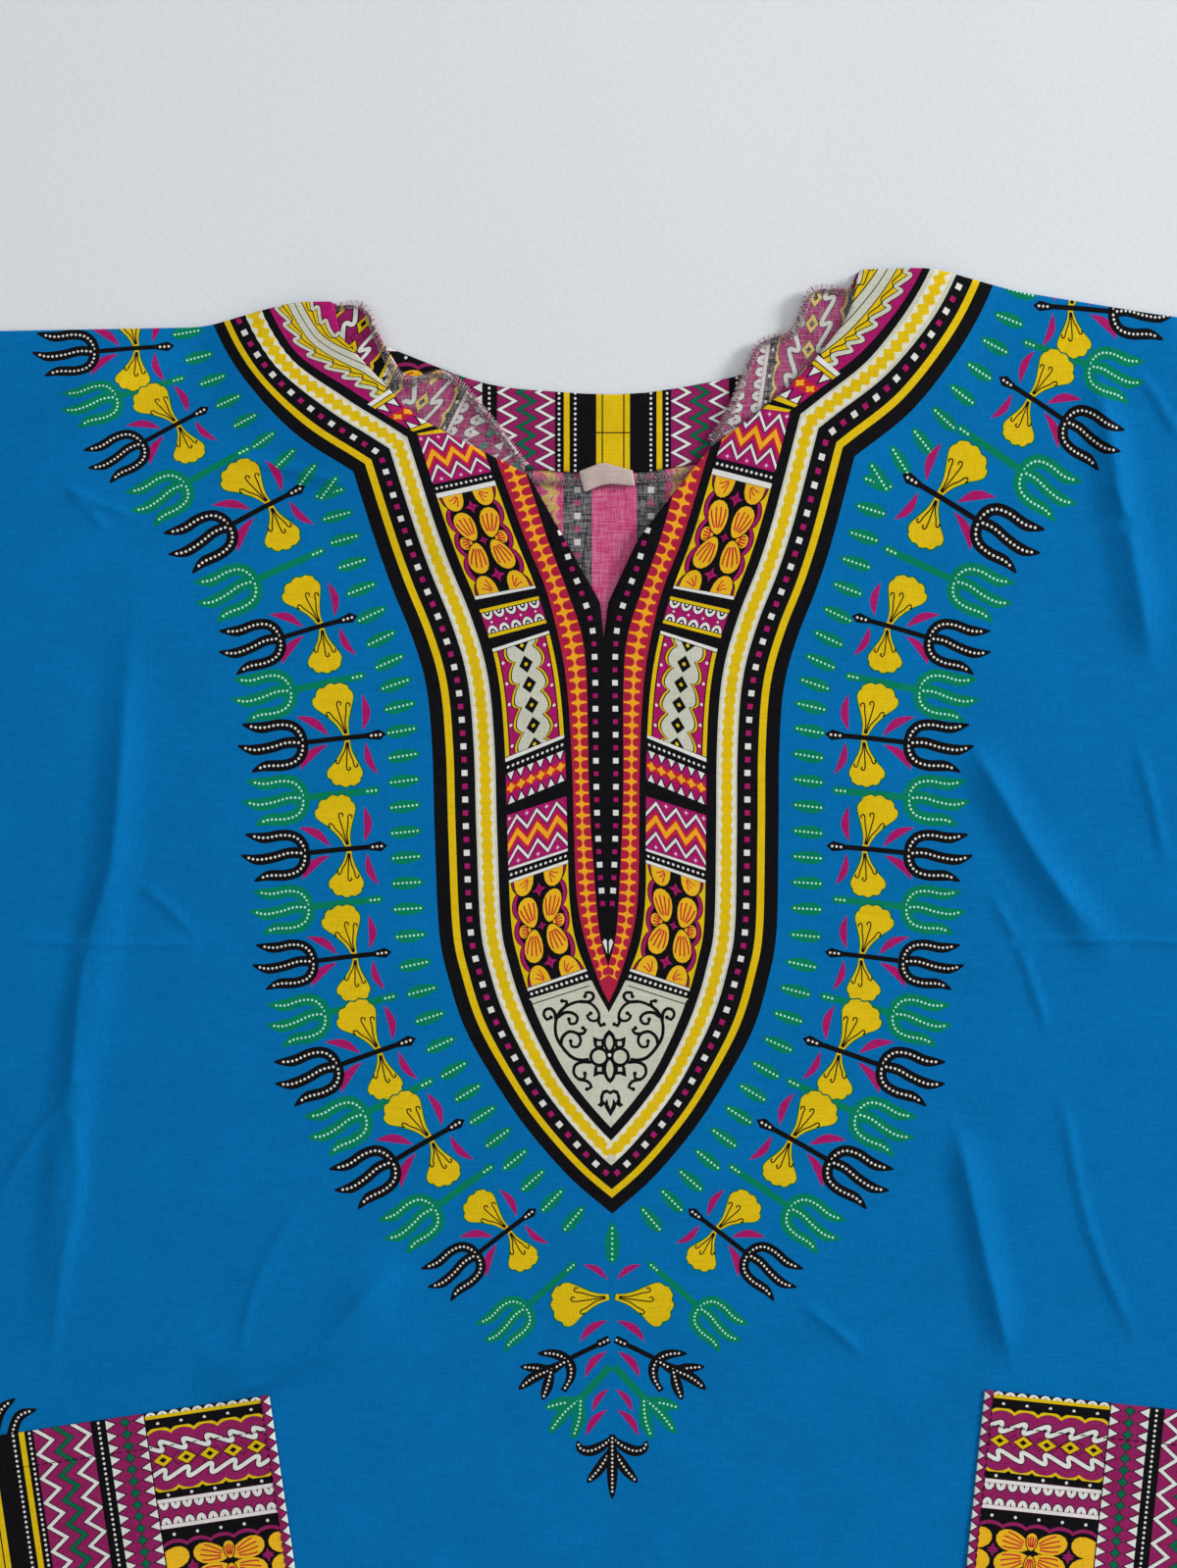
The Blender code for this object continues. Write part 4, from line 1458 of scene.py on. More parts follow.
        ends = np.ones(len(share))
        amber = [across(share, 0.16 * ends), across(share, 0.97 * ends)[::-1]]
        self.canvas.lay(Dye.AMBER, np.vstack(amber))
        turn = np.linspace(0.0, math.pi, 7)
        for index in range(count):
            middle = (index + 0.5) / count
            for root, way in ((0.0, 1.0), (1.0, -1.0)):
                for dye, wide, deep in ((Dye.RED, 0.43, 0.47), (Dye.CRIMSON, 0.34, 0.41)):
                    row = middle + np.cos(turn) * wide / count
                    reach = root + way * deep * np.sin(turn) ** 0.55
                    self.canvas.lay(dye, across(row, reach))

    def shoulder_tile(self, side: int) -> Tile:
        """Return the tile of the shoulder, with x up from the turn and y inward from the edge."""
        line = self.outer[self.outer[:, 1] > 299.0][::-1]
        start = 10.0
        half = self.laid(side)

        def place(points: Points) -> Points:
            """Return the cloth places of tile places."""
            where = points[:, 0] + start
            heading = at_length(line, where + 3) - at_length(line, where - 3)
            heading /= np.linalg.norm(heading, axis=1, keepdims=True)
            left = np.stack([-heading[:, 1], heading[:, 0]], 1)
            spot = at_length(line, where)
            return half(spot + left * points[:, 1:] * self.narrowing(spot[:, 1:], side))

        return Tile(self.canvas, lengths(line)[-1] - start - 3, 74.0, place)

    def draw_shoulder_bands(self, side: int) -> None:
        """Draw the bands that run over the shoulder inside the cream band."""
        tile = self.shoulder_tile(side)
        tile.bar(Dye.MAGENTA, 35.6, 74.0)
        floor = np.linspace(tile.width, 0.0, 30)
        for outer, inner, way in ((41.0, 47.0, 1.0), (60.8, 54.8, -1.0)):
            line = tile.waves(outer, -3.4 * way, 12.0, 0.22)
            tile.shape(Dye.YELLOW, np.vstack([line, np.stack([floor, np.full(30, inner)], 1)]))
            tile.run(Dye.BLACK, line, 2.9)
            tile.run(Dye.CREAM, line, 2.0)
            tile.run(Dye.BLACK, tile.waves(outer + 3.6 * way, -1.6 * way, 12.0, 0.12), 0.6)
        tile.bar(Dye.BLACK, 46.4, 55.2)
        tile.bar(Dye.CREAM, 46.9, 50.5)
        tile.bar(Dye.CREAM, 51.0, 54.6)

    def draw_fan(self, side: int) -> None:
        """Draw the panels where the print turns from the shoulder to the front."""
        start = self.start[side]
        foot = start[(start[:, 1] > 300.0) & (start[:, 1] < 336.5)]
        patch = np.vstack([foot, [(50.0, 300.0), (50.0, 362.0), (84.0, 361.5), (105.0, 345.4)]])
        half = self.laid(side)
        self.canvas.lay(Dye.BLACK, half(patch))
        for kind, near, far in FAN_PANELS:
            height = far - near

            def place(points: Points, far: float = far) -> Points:
                """Return the cloth places of tile places."""
                along = far - points[:, 1]
                angle = np.radians(np.interp(along, (0.0, 24.9, 30.5), (142.3, 156.4, 173.0)))
                outer = (115.2, 335.7) + along[:, None] * (-0.832, -0.554)
                out = np.stack([np.cos(angle), np.sin(angle)], 1)
                return half(outer + out * points[:, :1])

            PAINTERS[kind](Tile(self.canvas, 34.0, height, place))

    def draw_tip_field(self) -> None:
        """Draw the cream field in the point, with its scrolls."""
        foot = self.start[1][self.start[1][:, 1] < 38.0]
        outline = np.vstack([[(39.0, 38.2)], foot])
        roof = np.array([(9.4, 47.2)])
        whole = np.vstack([self.laid(1)(roof), self.laid(1)(outline), self.laid(-1)(outline)[:-1][::-1],
                           self.laid(-1)(roof)])
        self.canvas.lay(Dye.CREAM, whole)
        for side in (-1, 1):
            half = self.laid(side)
            self.canvas.lay(Dye.BLACK, half(ribbon(np.array([(37.6, 35.6), (9.6, 44.6)]), 0.5)))
            for knots in SCROLLS:
                line = spline(knots, 1.4)
                share = lengths(line) / lengths(line)[-1]
                self.canvas.lay(Dye.BLACK, half(ribbon(line, 1.75 - 0.45 * share)))
                self.canvas.lay(Dye.BLACK, half(disc(*line[-1], 1.05)))
            corner = np.array([(3.0, 13.6), (6.0, 13.2), (7.6, 15.4), (8.1, 19.8), (5.0, 18.6),
                               (2.4, 18.8)])
            for dye, petal in ((Dye.BLACK, corner), (Dye.CREAM, box(4.0, 15.4, 6.0, 17.4)),
                               (Dye.BLACK, corner * (1.0, -1.05) + (0.0, 20.8)),
                               (Dye.CREAM, box(4.0, 2.8, 6.0, 4.8)),
                               (Dye.BLACK, disc(5.1, 9.9, 4.9, 18)), (Dye.CREAM, disc(5.1, 9.9, 3.3, 16))):
                self.canvas.lay(dye, half(petal))
        for low, high, wide, dye in ((11.6, 23.2, 3.3, Dye.BLACK), (13.2, 20.6, 1.7, Dye.CREAM),
                                     (-3.2, 10.0, 3.3, Dye.BLACK), (-0.8, 8.4, 1.7, Dye.CREAM)):
            rise = np.linspace(0.0, 1.0, 9)
            side = np.stack([wide * np.sin(np.pi * rise) ** 0.7, low + (high - low) * rise], 1)
            self.both(dye, side[::-1])
        self.canvas.lay(Dye.BLACK, self.laid(1)(disc(0.0, 10.8, 2.2)))
        self.canvas.lay(Dye.WHITE, self.laid(1)(disc(0.0, 10.8, 0.9)))
        self.both(Dye.BLACK, np.array([(0.0, -6.9), (1.6, -6.0), (3.8, -6.6), (5.0, -9.4), (5.0, -12.4),
                                       (6.5, -13.6), (4.6, -14.8), (3.0, -13.6), (2.5, -15.2),
                                       (0.0, -19.4)]))
        self.both(Dye.CREAM, np.array([(0.0, -8.6), (1.5, -7.7), (3.0, -8.3), (3.5, -10.8), (2.7, -12.4),
                                       (1.5, -10.4), (0.8, -13.6), (0.0, -15.6)]))


# The scrolls of one half of the point, each from its root to its curled end
SCROLLS = (
    ((10.0, 8.6), (14.2, 8.3), (18.5, 9.8), (22.8, 14.4), (25.9, 20.1), (26.1, 26.8), (23.8, 32.1),
     (19.5, 35.3), (14.2, 36.9), (8.9, 36.0), (5.6, 32.6), (4.8, 29.4), (6.5, 27.5), (9.2, 27.8),
     (10.6, 29.9), (9.0, 31.2)),
    ((25.9, 27.8), (26.5, 31.4), (28.4, 33.4), (31.0, 32.9), (31.9, 30.5), (30.3, 28.1), (28.3, 29.2)),
    ((23.8, 32.1), (21.1, 34.7), (20.7, 36.9), (22.8, 37.2)),
    ((25.0, 29.2), (21.9, 31.4), (18.0, 31.4), (15.4, 29.2), (16.3, 26.4), (19.0, 26.1), (19.6, 28.3)),
    ((4.8, 29.4), (5.1, 26.8), (4.1, 25.1), (2.5, 25.8)),
    ((14.2, 36.9), (9.4, 36.9), (7.3, 39.3), (8.4, 41.2), (11.1, 41.2), (11.6, 39.4)),
    ((23.8, 15.8), (22.8, 19.6), (19.5, 22.2), (15.4, 21.1), (14.0, 17.7), (15.6, 14.8), (18.5, 15.1),
     (18.9, 17.6)),
    ((15.4, 21.1), (12.8, 21.3), (11.5, 23.0), (12.8, 24.0)),
    ((8.9, 7.2), (13.2, 7.4), (16.9, 5.7), (17.6, 1.9), (15.2, -1.0), (12.3, -0.5), (12.2, 1.8)),
    ((15.2, -1.0), (10.8, -2.2), (9.2, -4.8), (11.3, -5.9)),
)


# ---------------------------------------------------------------- the flower border


@dataclass(frozen=True)
class Spray:
    """Where a trident with its flowers lies.

    Attributes:
        head: The place of its dotted head.
        tail: The end of its middle prong.
    """

    head: tuple[float, float]
    tail: tuple[float, float]


SPRAYS = (
    Spray((211.0, 367.0), (279.0, 362.0)),
    Spray((194.0, 334.0), (251.0, 300.0)),
    Spray((147.0, 291.0), (212.0, 254.0)),
    Spray((122.0, 225.0), (188.0, 206.0)),
    Spray((108.5, 167.5), (179.5, 160.0)),
    Spray((108.5, 113.0), (178.5, 106.5)),
    Spray((107.0, 61.0), (173.6, 53.0)),
    Spray((95.7, 18.5), (163.0, -5.0)),
    Spray((72.5, -21.5), (134.5, -57.0)),
    Spray((38.0, -65.0), (89.0, -104.0)),
)

# The leaves, hands and seeds that hang below the point, on the right half
LOW_LEAVES = (
    ((2.3, -99.1), (14.3, -91.6)),
    ((2.3, -118.9), (16.0, -129.4)),
    ((2.6, -133.9), (13.5, -146.8)),
    ((1.5, -152.2), (9.8, -163.6)),
    ((2.3, -162.4), (12.8, -175.3)),
)
BLACK_FINGERS = (
    ((24.0, -153.4), (20.6, -147.4), (20.3, -141.4), (24.0, -136.9), (29.3, -135.1), (36.5, -135.1)),
    ((22.0, -138.6), (30.8, -143.2), (36.8, -142.2), (45.0, -141.5)),
    ((28.0, -142.2), (38.3, -146.7), (45.8, -152.6)),
    ((29.6, -142.6), (31.5, -150.4), (34.1, -157.8)),
    ((0.0, -176.3), (5.3, -180.4), (11.3, -182.7), (15.6, -181.4), (16.9, -177.6)),
    ((0.6, -182.0), (6.0, -190.9), (12.4, -198.2)),
)
GREEN_FINGERS = (
    ((14.4, -155.8), (18.0, -158.6), (24.8, -159.4), (33.0, -161.7)),
    ((15.6, -157.0), (23.3, -163.9), (31.0, -174.0)),
    ((15.4, -156.6), (16.1, -166.9), (19.5, -176.9)),
)


@dataclass
class FlowerBorder:
    """The tridents, flowers, leaves and seeds round the neck print."""

    neck: NeckPrint
    reach: float = 68.0
    seed_pitch: float = 12.6
    seed_length: float = 17.0
    seed_gap: float = 5.6

    def draw(self) -> None:
        """Draw the border on both halves."""
        for side in (-1, 1):
            half = self.neck.laid(side)
            self.draw_seeds(side)
            for before, after in zip(SPRAYS, SPRAYS[1:]):
                head = (np.array(before.head) + after.head) / 2 + (2.5, 0.0)
                tail = (np.array(before.tail) + after.tail) / 2 - (1.5, 0.0)
                self.draw_trident(self.tile(head, tail, half), Dye.LEAF_GREEN, Dye.MINT)
            last = self.tile(np.array((18.0, -91.0)), np.array((62.0, -130.0)), half)
            self.draw_trident(last, Dye.LEAF_GREEN, Dye.MINT)
            for spray in SPRAYS:
                tile = self.tile(np.array(spray.head), np.array(spray.tail), half)
                self.draw_flowers(tile)
                self.draw_trident(tile, Dye.BLACK, Dye.WHITE)
            self.draw_low_spray(side)
        foot = self.sheet(self.neck.laid(1))
        self.draw_finger(foot, Dye.BLACK, Dye.WHITE, ((0.0, -174.6), (0.0, -190.0), (0.0, -206.0)))
        self.draw_seed(foot, np.array((0.0, -70.5)), np.array((0.0, -91.5)), 3.9)
        for knots in (((-302.0, -182.0), (-300.5, -172.0), (-297.4, -162.5), (-290.6, -157.0)),
                      ((-293.0, -184.0), (-292.0, -174.0), (-288.5, -165.5), (-280.1, -162.3))):
            self.draw_prong(self.sheet(lambda points: points), Dye.BLACK, Dye.WHITE, spline(knots, 1.8))

    def sheet(self, place: Place) -> Tile:
        """Return a tile without edges of its own, for shapes whose own places are given."""
        return Tile(self.neck.canvas, 1.0, 1.0, place)

    def tile(self, head: Points, tail: Points, half: Place) -> Tile:
        """Return a tile that runs from a head to a tail, with its y to the left of that line."""
        axis = (tail - head) / self.reach
        side = np.array([-axis[1], axis[0]])
        return Tile(self.neck.canvas, self.reach, 30.0,
                    lambda points: half(head + points[:, :1] * axis + points[:, 1:] * side))

    def draw_trident(self, tile: Tile, dye: Dye, bead: Dye) -> None:
        """Draw a trident.

        Args:
            tile: Its tile, with its head at the start of x.
            dye: The dye of its stem and prongs.
            bead: The dye of its dots.
        """
        swell = 1.0 if dye is Dye.BLACK else 1.22
        tile.stroke(dye, np.array([(3.0, 0.0), (20.0, 0.2), (40.0, 0.0)]), 2.4 * swell**2)
        tile.shape(dye, np.array([(-1.4, 0.0), (1.8, -2.5), (7.6, -1.4), (7.6, 1.4), (1.8, 2.5)]))
        for x in (1.5, 3.6, 5.7):
            tile.shape(bead, disc(x, 0.0, 0.66, 6))
        for way, end, curl in ((1, 65.0, 2.8), (-1, 63.0, 2.4)):
            prong = spline([(37.8, 0.0), (38.7, way * 4.6), (42.0, way * 8.2), (48.0, way * 9.5),
                            (56.5, way * 9.0), (end, way * (8.6 + curl))], 1.8)
            self.draw_prong(tile, dye, bead, prong, swell)
        middle = spline([(38.2, 0.0), (45.0, 0.8), (53.0, -0.6), (61.0, -0.9), (self.reach, 1.8)], 1.8)
        self.draw_prong(tile, dye, bead, middle, swell)

    @staticmethod
    def draw_prong(tile: Tile, dye: Dye, bead: Dye, line: Points, swell: float = 1.0) -> None:
        """Draw a prong that narrows to a point, with a row of dots along it."""
        run = lengths(line)
        left = run[-1] - run
        wide = 5.2 * swell * np.clip(left / 8.0, 0.04, 1.0) ** 0.6
        tile.shape(dye, ribbon(line, wide))
        for x, y in at_length(line, np.arange(1.5, run[-1] - 2.6, 2.1)):
            tile.shape(bead, disc(x, y, 0.66, 6))

    @staticmethod
    def draw_finger(tile: Tile, dye: Dye, bead: Dye, knots: Sequence[Sequence[float]]) -> None:
        """Draw a finger that is widest along its middle, with a row of dots."""
        line = spline(knots, 1.6)
        tile.shape(dye, tapered(line, 5.4 if dye is Dye.BLACK else 6.2, 0.6, 0.12))
        for x, y in at_length(line, np.arange(1.8, lengths(line)[-1] - 2.0, 2.0)):
            tile.shape(bead, disc(x, y, 0.6, 6))

    def draw_low_spray(self, side: int) -> None:
        """Draw one half of what hangs below the point."""
        tile = self.sheet(self.neck.laid(side))
        tile.stroke(Dye.LEAF_GREEN, np.array([(1.0, -141.4), (8.0, -149.0), (16.0, -157.6)]), 3.6)
        for knots in GREEN_FINGERS:
            self.draw_finger(tile, Dye.LEAF_GREEN, Dye.MINT, knots)
        for base, tip in LOW_LEAVES:
            self.draw_leaf(tile, np.array(base), np.array(tip))
        self.draw_flower(tile, np.array((1.6, -107.4)), np.array((29.6, -112.2)), 1)
        tile.stroke(Dye.BLACK, np.array([(4.0, -129.4), (13.0, -133.6), (23.0, -138.6)]), 2.4)
        tile.stroke(Dye.BLACK, np.array([(1.4, -128.0), (4.0, -129.3), (7.0, -130.7)]), 4.0)
        for x, y in ((2.2, -128.5), (4.1, -129.4), (6.0, -130.3)):
            tile.shape(Dye.WHITE, disc(x, y, 0.62, 6))
        for knots in BLACK_FINGERS:
            self.draw_finger(tile, Dye.BLACK, Dye.WHITE, knots)

    def draw_flowers(self, tile: Tile) -> None:
        """Draw two yellow flowers and four magenta leaves across a stem."""
        for base, tip in (((9.4, 2.8), (7.8, 19.6)), ((8.4, -2.8), (4.6, -18.2)),
                          ((25.4, 1.8), (39.6, 12.4)), ((26.2, -2.0), (40.6, -12.6))):
            self.draw_leaf(tile, np.array(base), np.array(tip))
        self.draw_flower(tile, np.array((17.0, 0.6)), np.array((23.0, 25.6)), 1)
        self.draw_flower(tile, np.array((16.9, -0.6)), np.array((20.8, -22.2)), -1)

    @staticmethod
    def draw_leaf(tile: Tile, base: Points, tip: Points) -> None:
        """Draw a pointed leaf with a slight bow."""
        axis = tip - base
        side = np.array([-axis[1], axis[0]])
        t = np.linspace(0.0, 1.0, 9)[:, None]
        middle = base + axis * t + side * 0.11 * np.sin(math.pi * t)
        tile.pod(Dye.MAGENTA, middle, side * (0.112 * np.sin(math.pi * t[1:-1])))

    @staticmethod
    def draw_flower(tile: Tile, neck: Points, crown: Points, way: int) -> None:
        """Draw a trumpet flower with a frilled rim and three curled stamens.

        Args:
            tile: Where it is drawn.
            neck: Where it leaves the stem.
            crown: The middle of its rim.
            way: 1 or -1, the side to which it leans.
        """
        axis = crown - neck
        long = float(np.linalg.norm(axis))
        side = np.array([-axis[1], axis[0]]) * way * 0.88
        rim = [(0.0, 0.055), (0.14, 0.085), (0.28, 0.150), (0.42, 0.245), (0.54, 0.335), (0.65, 0.405),
               (0.75, 0.405), (0.79, 0.370), (0.87, 0.365), (0.92, 0.295), (0.965, 0.225), (0.955, 0.135),
               (1.01, 0.050), (1.0, -0.030), (0.965, -0.110), (0.985, -0.200), (0.935, -0.285),
               (0.865, -0.325), (0.845, -0.400), (0.745, -0.435), (0.64, -0.385), (0.53, -0.285),
               (0.41, -0.205), (0.28, -0.130), (0.14, -0.080), (0.0, -0.055)]
        line = spline(rim, 0.06)
        middle = np.array([(0.55, 0.0)])
        out = line - middle
        out /= np.linalg.norm(out, axis=1, keepdims=True)
        for dye, grow in ((Dye.GREEN, 0.75 / long), (Dye.YELLOW, 0.0)):
            grown = line + out * grow
            tile.shape(dye, neck + grown[:, :1] * axis + grown[:, 1:] * side)
        for lean, far in ((-0.15, 0.50), (0.02, 0.62), (0.19, 0.54)):
            hook = 0.055 if lean > 0 else -0.055
            stem = spline([(0.06, lean * 0.12), (0.24, lean * 0.30), (far - 0.10, lean * 0.85),
                           (far, lean + 0.2 * hook), (far + 0.035, lean + hook),
                           (far - 0.005, lean + 1.8 * hook), (far - 0.045, lean + 1.3 * hook)], 0.035)
            tile.stroke(Dye.BLACK, neck + stem[:, :1] * axis + stem[:, 1:] * side, 0.62)

    def draw_seeds(self, side: int) -> None:
        """Draw the green seeds that stand off the neck print's edge."""
        line = self.neck.outer[(self.neck.outer[:, 1] > -66.0) & (self.neck.outer[:, 1] < 392.0)]
        edge = line[::-1]
        where = np.arange(9.0, lengths(edge)[-1], self.seed_pitch)
        spots = at_length(edge, where)
        heading = at_length(edge, where + 4.0) - at_length(edge, where - 4.0)
        tile = self.sheet(self.neck.laid(side))
        for (x, y), (ahead, up) in zip(spots, heading):
            out = np.array([up, -ahead]) / math.hypot(ahead, up)
            low = float(eased((y - 60.0) / 100.0) * (1 - eased((y - 200.0) / 60.0)))
            rise = (0.12 if side > 0 else 0.20) * float(eased((y - 300.0) / 40.0))
            tilt = np.array([0.0, rise - 0.12 * low])
            start = np.array([x, y]) + out * self.seed_gap
            self.draw_seed(tile, start, start + (out + tilt) * self.seed_length, 3.5)

    @staticmethod
    def draw_seed(tile: Tile, start: Points, end: Points, half_width: float) -> None:
        """Draw a seed with a pointed start and a rounder end, and a row of dots along it."""
        axis = end - start
        side = np.array([-axis[1], axis[0]]) / float(np.linalg.norm(axis))
        t = np.linspace(0.0, 1.0, 9)[:, None]
        middle = start + axis * t
        wide = half_width * np.sin(math.pi * t[1:-1]) ** 0.5 * (0.72 + 0.36 * t[1:-1])
        tile.pod(Dye.LEAF_GREEN, middle, side * wide)
        for step in np.linspace(0.16, 0.88, 7):
            tile.shape(Dye.MINT, disc(*(start + axis * step), 0.6, 6))


# ---------------------------------------------------------------- cloth shells


@dataclass
class ClothShell:
    """A closed thin shell of cloth with an inlaid print.

    Attributes:
        name: The piece's name.
        outline: Its closed outline, in metres.
        underside: The height of its underside.
        canvas: The print on its upper side.
        ground: The dye of its upper side where nothing is printed.
        back_dye: The dye of its underside.
        thickness: How thick it is.
        grid: How far apart its free points are.
        rim: How far in its edge starts to round over.
        creases: The sharp creases that it must follow closely.
        printed: The low and high corners of its most closely printed part.
    """

    name: str
    outline: Points
    underside: Height
    canvas: PrintCanvas
    ground: Dye
    back_dye: Dye
    thickness: float = 0.0009
    grid: float = 0.005
    back_grid: float = 0.024
    rim: float = 0.0007
    creases: tuple[Crease, ...] = ()
    printed: tuple[tuple[float, float], tuple[float, float]] | None = None

    def spread(self, outline: Points, coarse: float, fine: float) -> Points:
        """Return points that are close together where the cloth bends and further apart elsewhere."""
        wide = self.scattered(outline, coarse, 0.45 * coarse)
        near = self.scattered(outline, fine, 0.5 * fine)
        bent = self.bends(near)
        if not bent.any():
            return wide
        kept = np.vstack([near[bent], wide[~self.bends(wide)]])
        for crease in self.creases:
            rows = crease.guides()
            gap, _share = gap_to_line(kept, spline(crease.line, step=0.02))
            kept = np.vstack([kept[gap > 1.4 * crease.reach], rows[inside(rows, outline)]])
        return kept

    def bends(self, points: Points) -> np.ndarray:
        """Return where the cloth is not flat."""
        reach = 0.008
        here = self.underside(points)
        bend = np.zeros(len(points))
        for dx, dy in ((reach, 0.0), (0.0, reach), (0.7 * reach, 0.7 * reach), (0.7 * reach, -0.7 * reach)):
            step = np.array([dx, dy])
            both = self.underside(points + step) + self.underside(points - step)
            bend = np.maximum(bend, np.abs(both - 2 * here))
        return bend > 0.00012

    def scattered(self, outline: Points, step: float, keep: float) -> Points:
        """Return points in staggered rows that keep clear of an outline."""
        low, high = outline.min(0), outline.max(0)
        rows = np.arange(low[1] + 0.5 * step, high[1], step * 0.87)
        columns = np.arange(low[0] + 0.5 * step, high[0], step)
        x, y = np.meshgrid(columns, rows)
        x = x + np.where(np.arange(len(rows)) % 2, 0.25, -0.25)[:, None] * step
        points = np.stack([x.ravel(), y.ravel()], 1)
        points = points[inside(points, outline)]
        closed = np.vstack([outline, outline[:1]])
        gap, _share = gap_to_line(points, closed)
        return points[gap > keep]

    def build(self) -> bpy.types.Object:
        """Cut the cloth along its print, close it and return the piece."""
        edge = anticlockwise(divided(self.outline, 0.0045))
        ring = np.vstack([edge, edge[:1]])
        heading = directions(np.vstack([edge[-1:], ring]))[1:-1]
        inset = edge + np.stack([-heading[:, 1], heading[:, 0]], 1) * self.rim
        free = self.spread(edge, 2.2 * self.grid, self.grid)
        loops = [edge] + [shape for _dye, shape in self.canvas.shapes]
        points, faces, owners = self.cut_apart(loops, inset, free)
        rim_line = self.border(faces)
        count = len(points)
        on_rim = np.zeros(count, bool)
        on_rim[rim_line] = True
        under = self.underside(points)
        height = under + self.thickness * np.where(on_rim, 0.45, 1.0)
        top = np.column_stack([points, height])
        back_points, back_faces = self.back_side(points[rim_line], inset)
        back_height = self.underside(back_points)
        lower = np.column_stack([back_points, back_height])
        fresh = len(rim_line)
        lookup = np.concatenate([rim_line, count + np.arange(len(back_points) - fresh)])
        vertices = np.vstack([top, lower[fresh:]])
        back = [tuple(int(lookup[index]) for index in face[::-1]) for face in back_faces]
        mesh = bpy.data.meshes.new(self.name)
        mesh.from_pydata(vertices.tolist(), [], faces + back)
        dyes = [self.ground] + [dye for dye, _shape in self.canvas.shapes]
        worn = sorted({dyes[owner] for owner in owners} | {self.back_dye}, key=lambda dye: dye.name)
        for dye in worn:
            mesh.materials.append(cotton_material(dye))
        slots = [worn.index(dyes[owner]) for owner in owners] + [worn.index(self.back_dye)] * len(back)
        mesh.polygons.foreach_set("material_index", slots)
        self.lay_flat(mesh, vertices[:, :2], len(faces))
        mesh.shade_smooth()
        mesh.update()
        LOG.info("%s: %d triangles, %d dyes", self.name, len(faces) + len(back), len(worn))
        return add_object(self.name, mesh)

    def lay_flat(self, mesh: bpy.types.Mesh, spots: Points, front: int) -> None:
        """Give the mesh flat coordinates, with the most room for its most closely printed part.

        Args:
            mesh: The mesh, all in triangles.
            spots: The places of its vertices.
            front: How many of its faces are on the upper side; the others share a narrow strip.
        """
        low, high = spots.min(0), spots.max(0)
        near, far = self.printed or (low, high)
        share = np.empty_like(spots)
        for axis in (0, 1):
            knots = (low[axis], near[axis], far[axis], high[axis])
            stops = (0.0, 0.06, 0.94, 1.0) if self.printed else (0.0, 0.0, 1.0, 1.0)
            share[:, axis] = np.interp(spots[:, axis], knots, stops)
        corners = np.empty(3 * len(mesh.polygons), int)
        mesh.loops.foreach_get("vertex_index", corners)
        flat = 0.004 + 0.992 * share[corners]
        upper = np.arange(len(corners)) < 3 * front
        flat[:, 1] = np.where(upper, 0.07 + 0.926 * share[corners, 1], 0.004 + 0.056 * share[corners, 1])
        mesh.uv_layers.new(name="OFBake").data.foreach_set("uv", flat.ravel())

    @staticmethod
    def cut_apart(loops: list[Points], line: Points, free: Points
                  ) -> tuple[Points, list[tuple[int, int, int]], list[int]]:
        """Cut the first loop into triangles along all the others.

        Args:
            loops: The outline and the printed shapes.
            line: A closed line that is cut along but owns nothing.
            free: Points put in between.

        Returns:
            The points, the triangles, and which loop is on top at each triangle.
        """
        flat = []
        held = []
        for loop in loops:
            held.append(list(range(len(flat), len(flat) + len(loop))))
            flat.extend(loop.tolist())
        first = len(flat)
        flat.extend(line.tolist())
        edges = [(first + index, first + (index + 1) % len(line)) for index in range(len(line))]
        flat.extend(free.tolist())
        vectors = [Vector(point) for point in flat]
        made, _edges, faces, _v, _e, owners = delaunay_2d_cdt(vectors, edges, held, 1, 1e-6, True)
        kept = [face for face, owner in zip(faces, owners) if 0 in owner]
        used = sorted({index for face in kept for index in face})
        renumber = {index: number for number, index in enumerate(used)}
        points = np.array([made[index] for index in used])
        triangles = [tuple(renumber[index] for index in face) for face in kept]
        middles = points[np.array(triangles)].mean(axis=1)
        tops = np.zeros(len(kept), int)
        order = np.argsort(middles[:, 0])
        rightward = middles[order, 0]
        for number, loop in enumerate(loops[1:], 1):
            (left, low), (right, high) = loop.min(axis=0), loop.max(axis=0)
            near = order[slice(*np.searchsorted(rightward, (left, right)))]
            near = near[(middles[near, 1] > low) & (middles[near, 1] < high)]
            tops[near[inside(middles[near], loop)]] = number
        return points, triangles, tops.tolist()

    @staticmethod
    def border(faces: list[tuple[int, int, int]]) -> np.ndarray:
        """Return the points round the edge of a sheet of triangles, in order."""
        runs = {}
        for a, b, c in faces:
            for start, end in ((a, b), (b, c), (c, a)):
                runs[(start, end)] = True
        follow = {start: end for start, end in runs if (end, start) not in runs}
        first = next(iter(follow))
        loop = [first]
        while follow[loop[-1]] != first:
            loop.append(follow[loop[-1]])
        if len(loop) != len(follow):
            raise ValueError(f"the edge is in pieces: {len(loop)} of {len(follow)}")
        return np.array(loop)

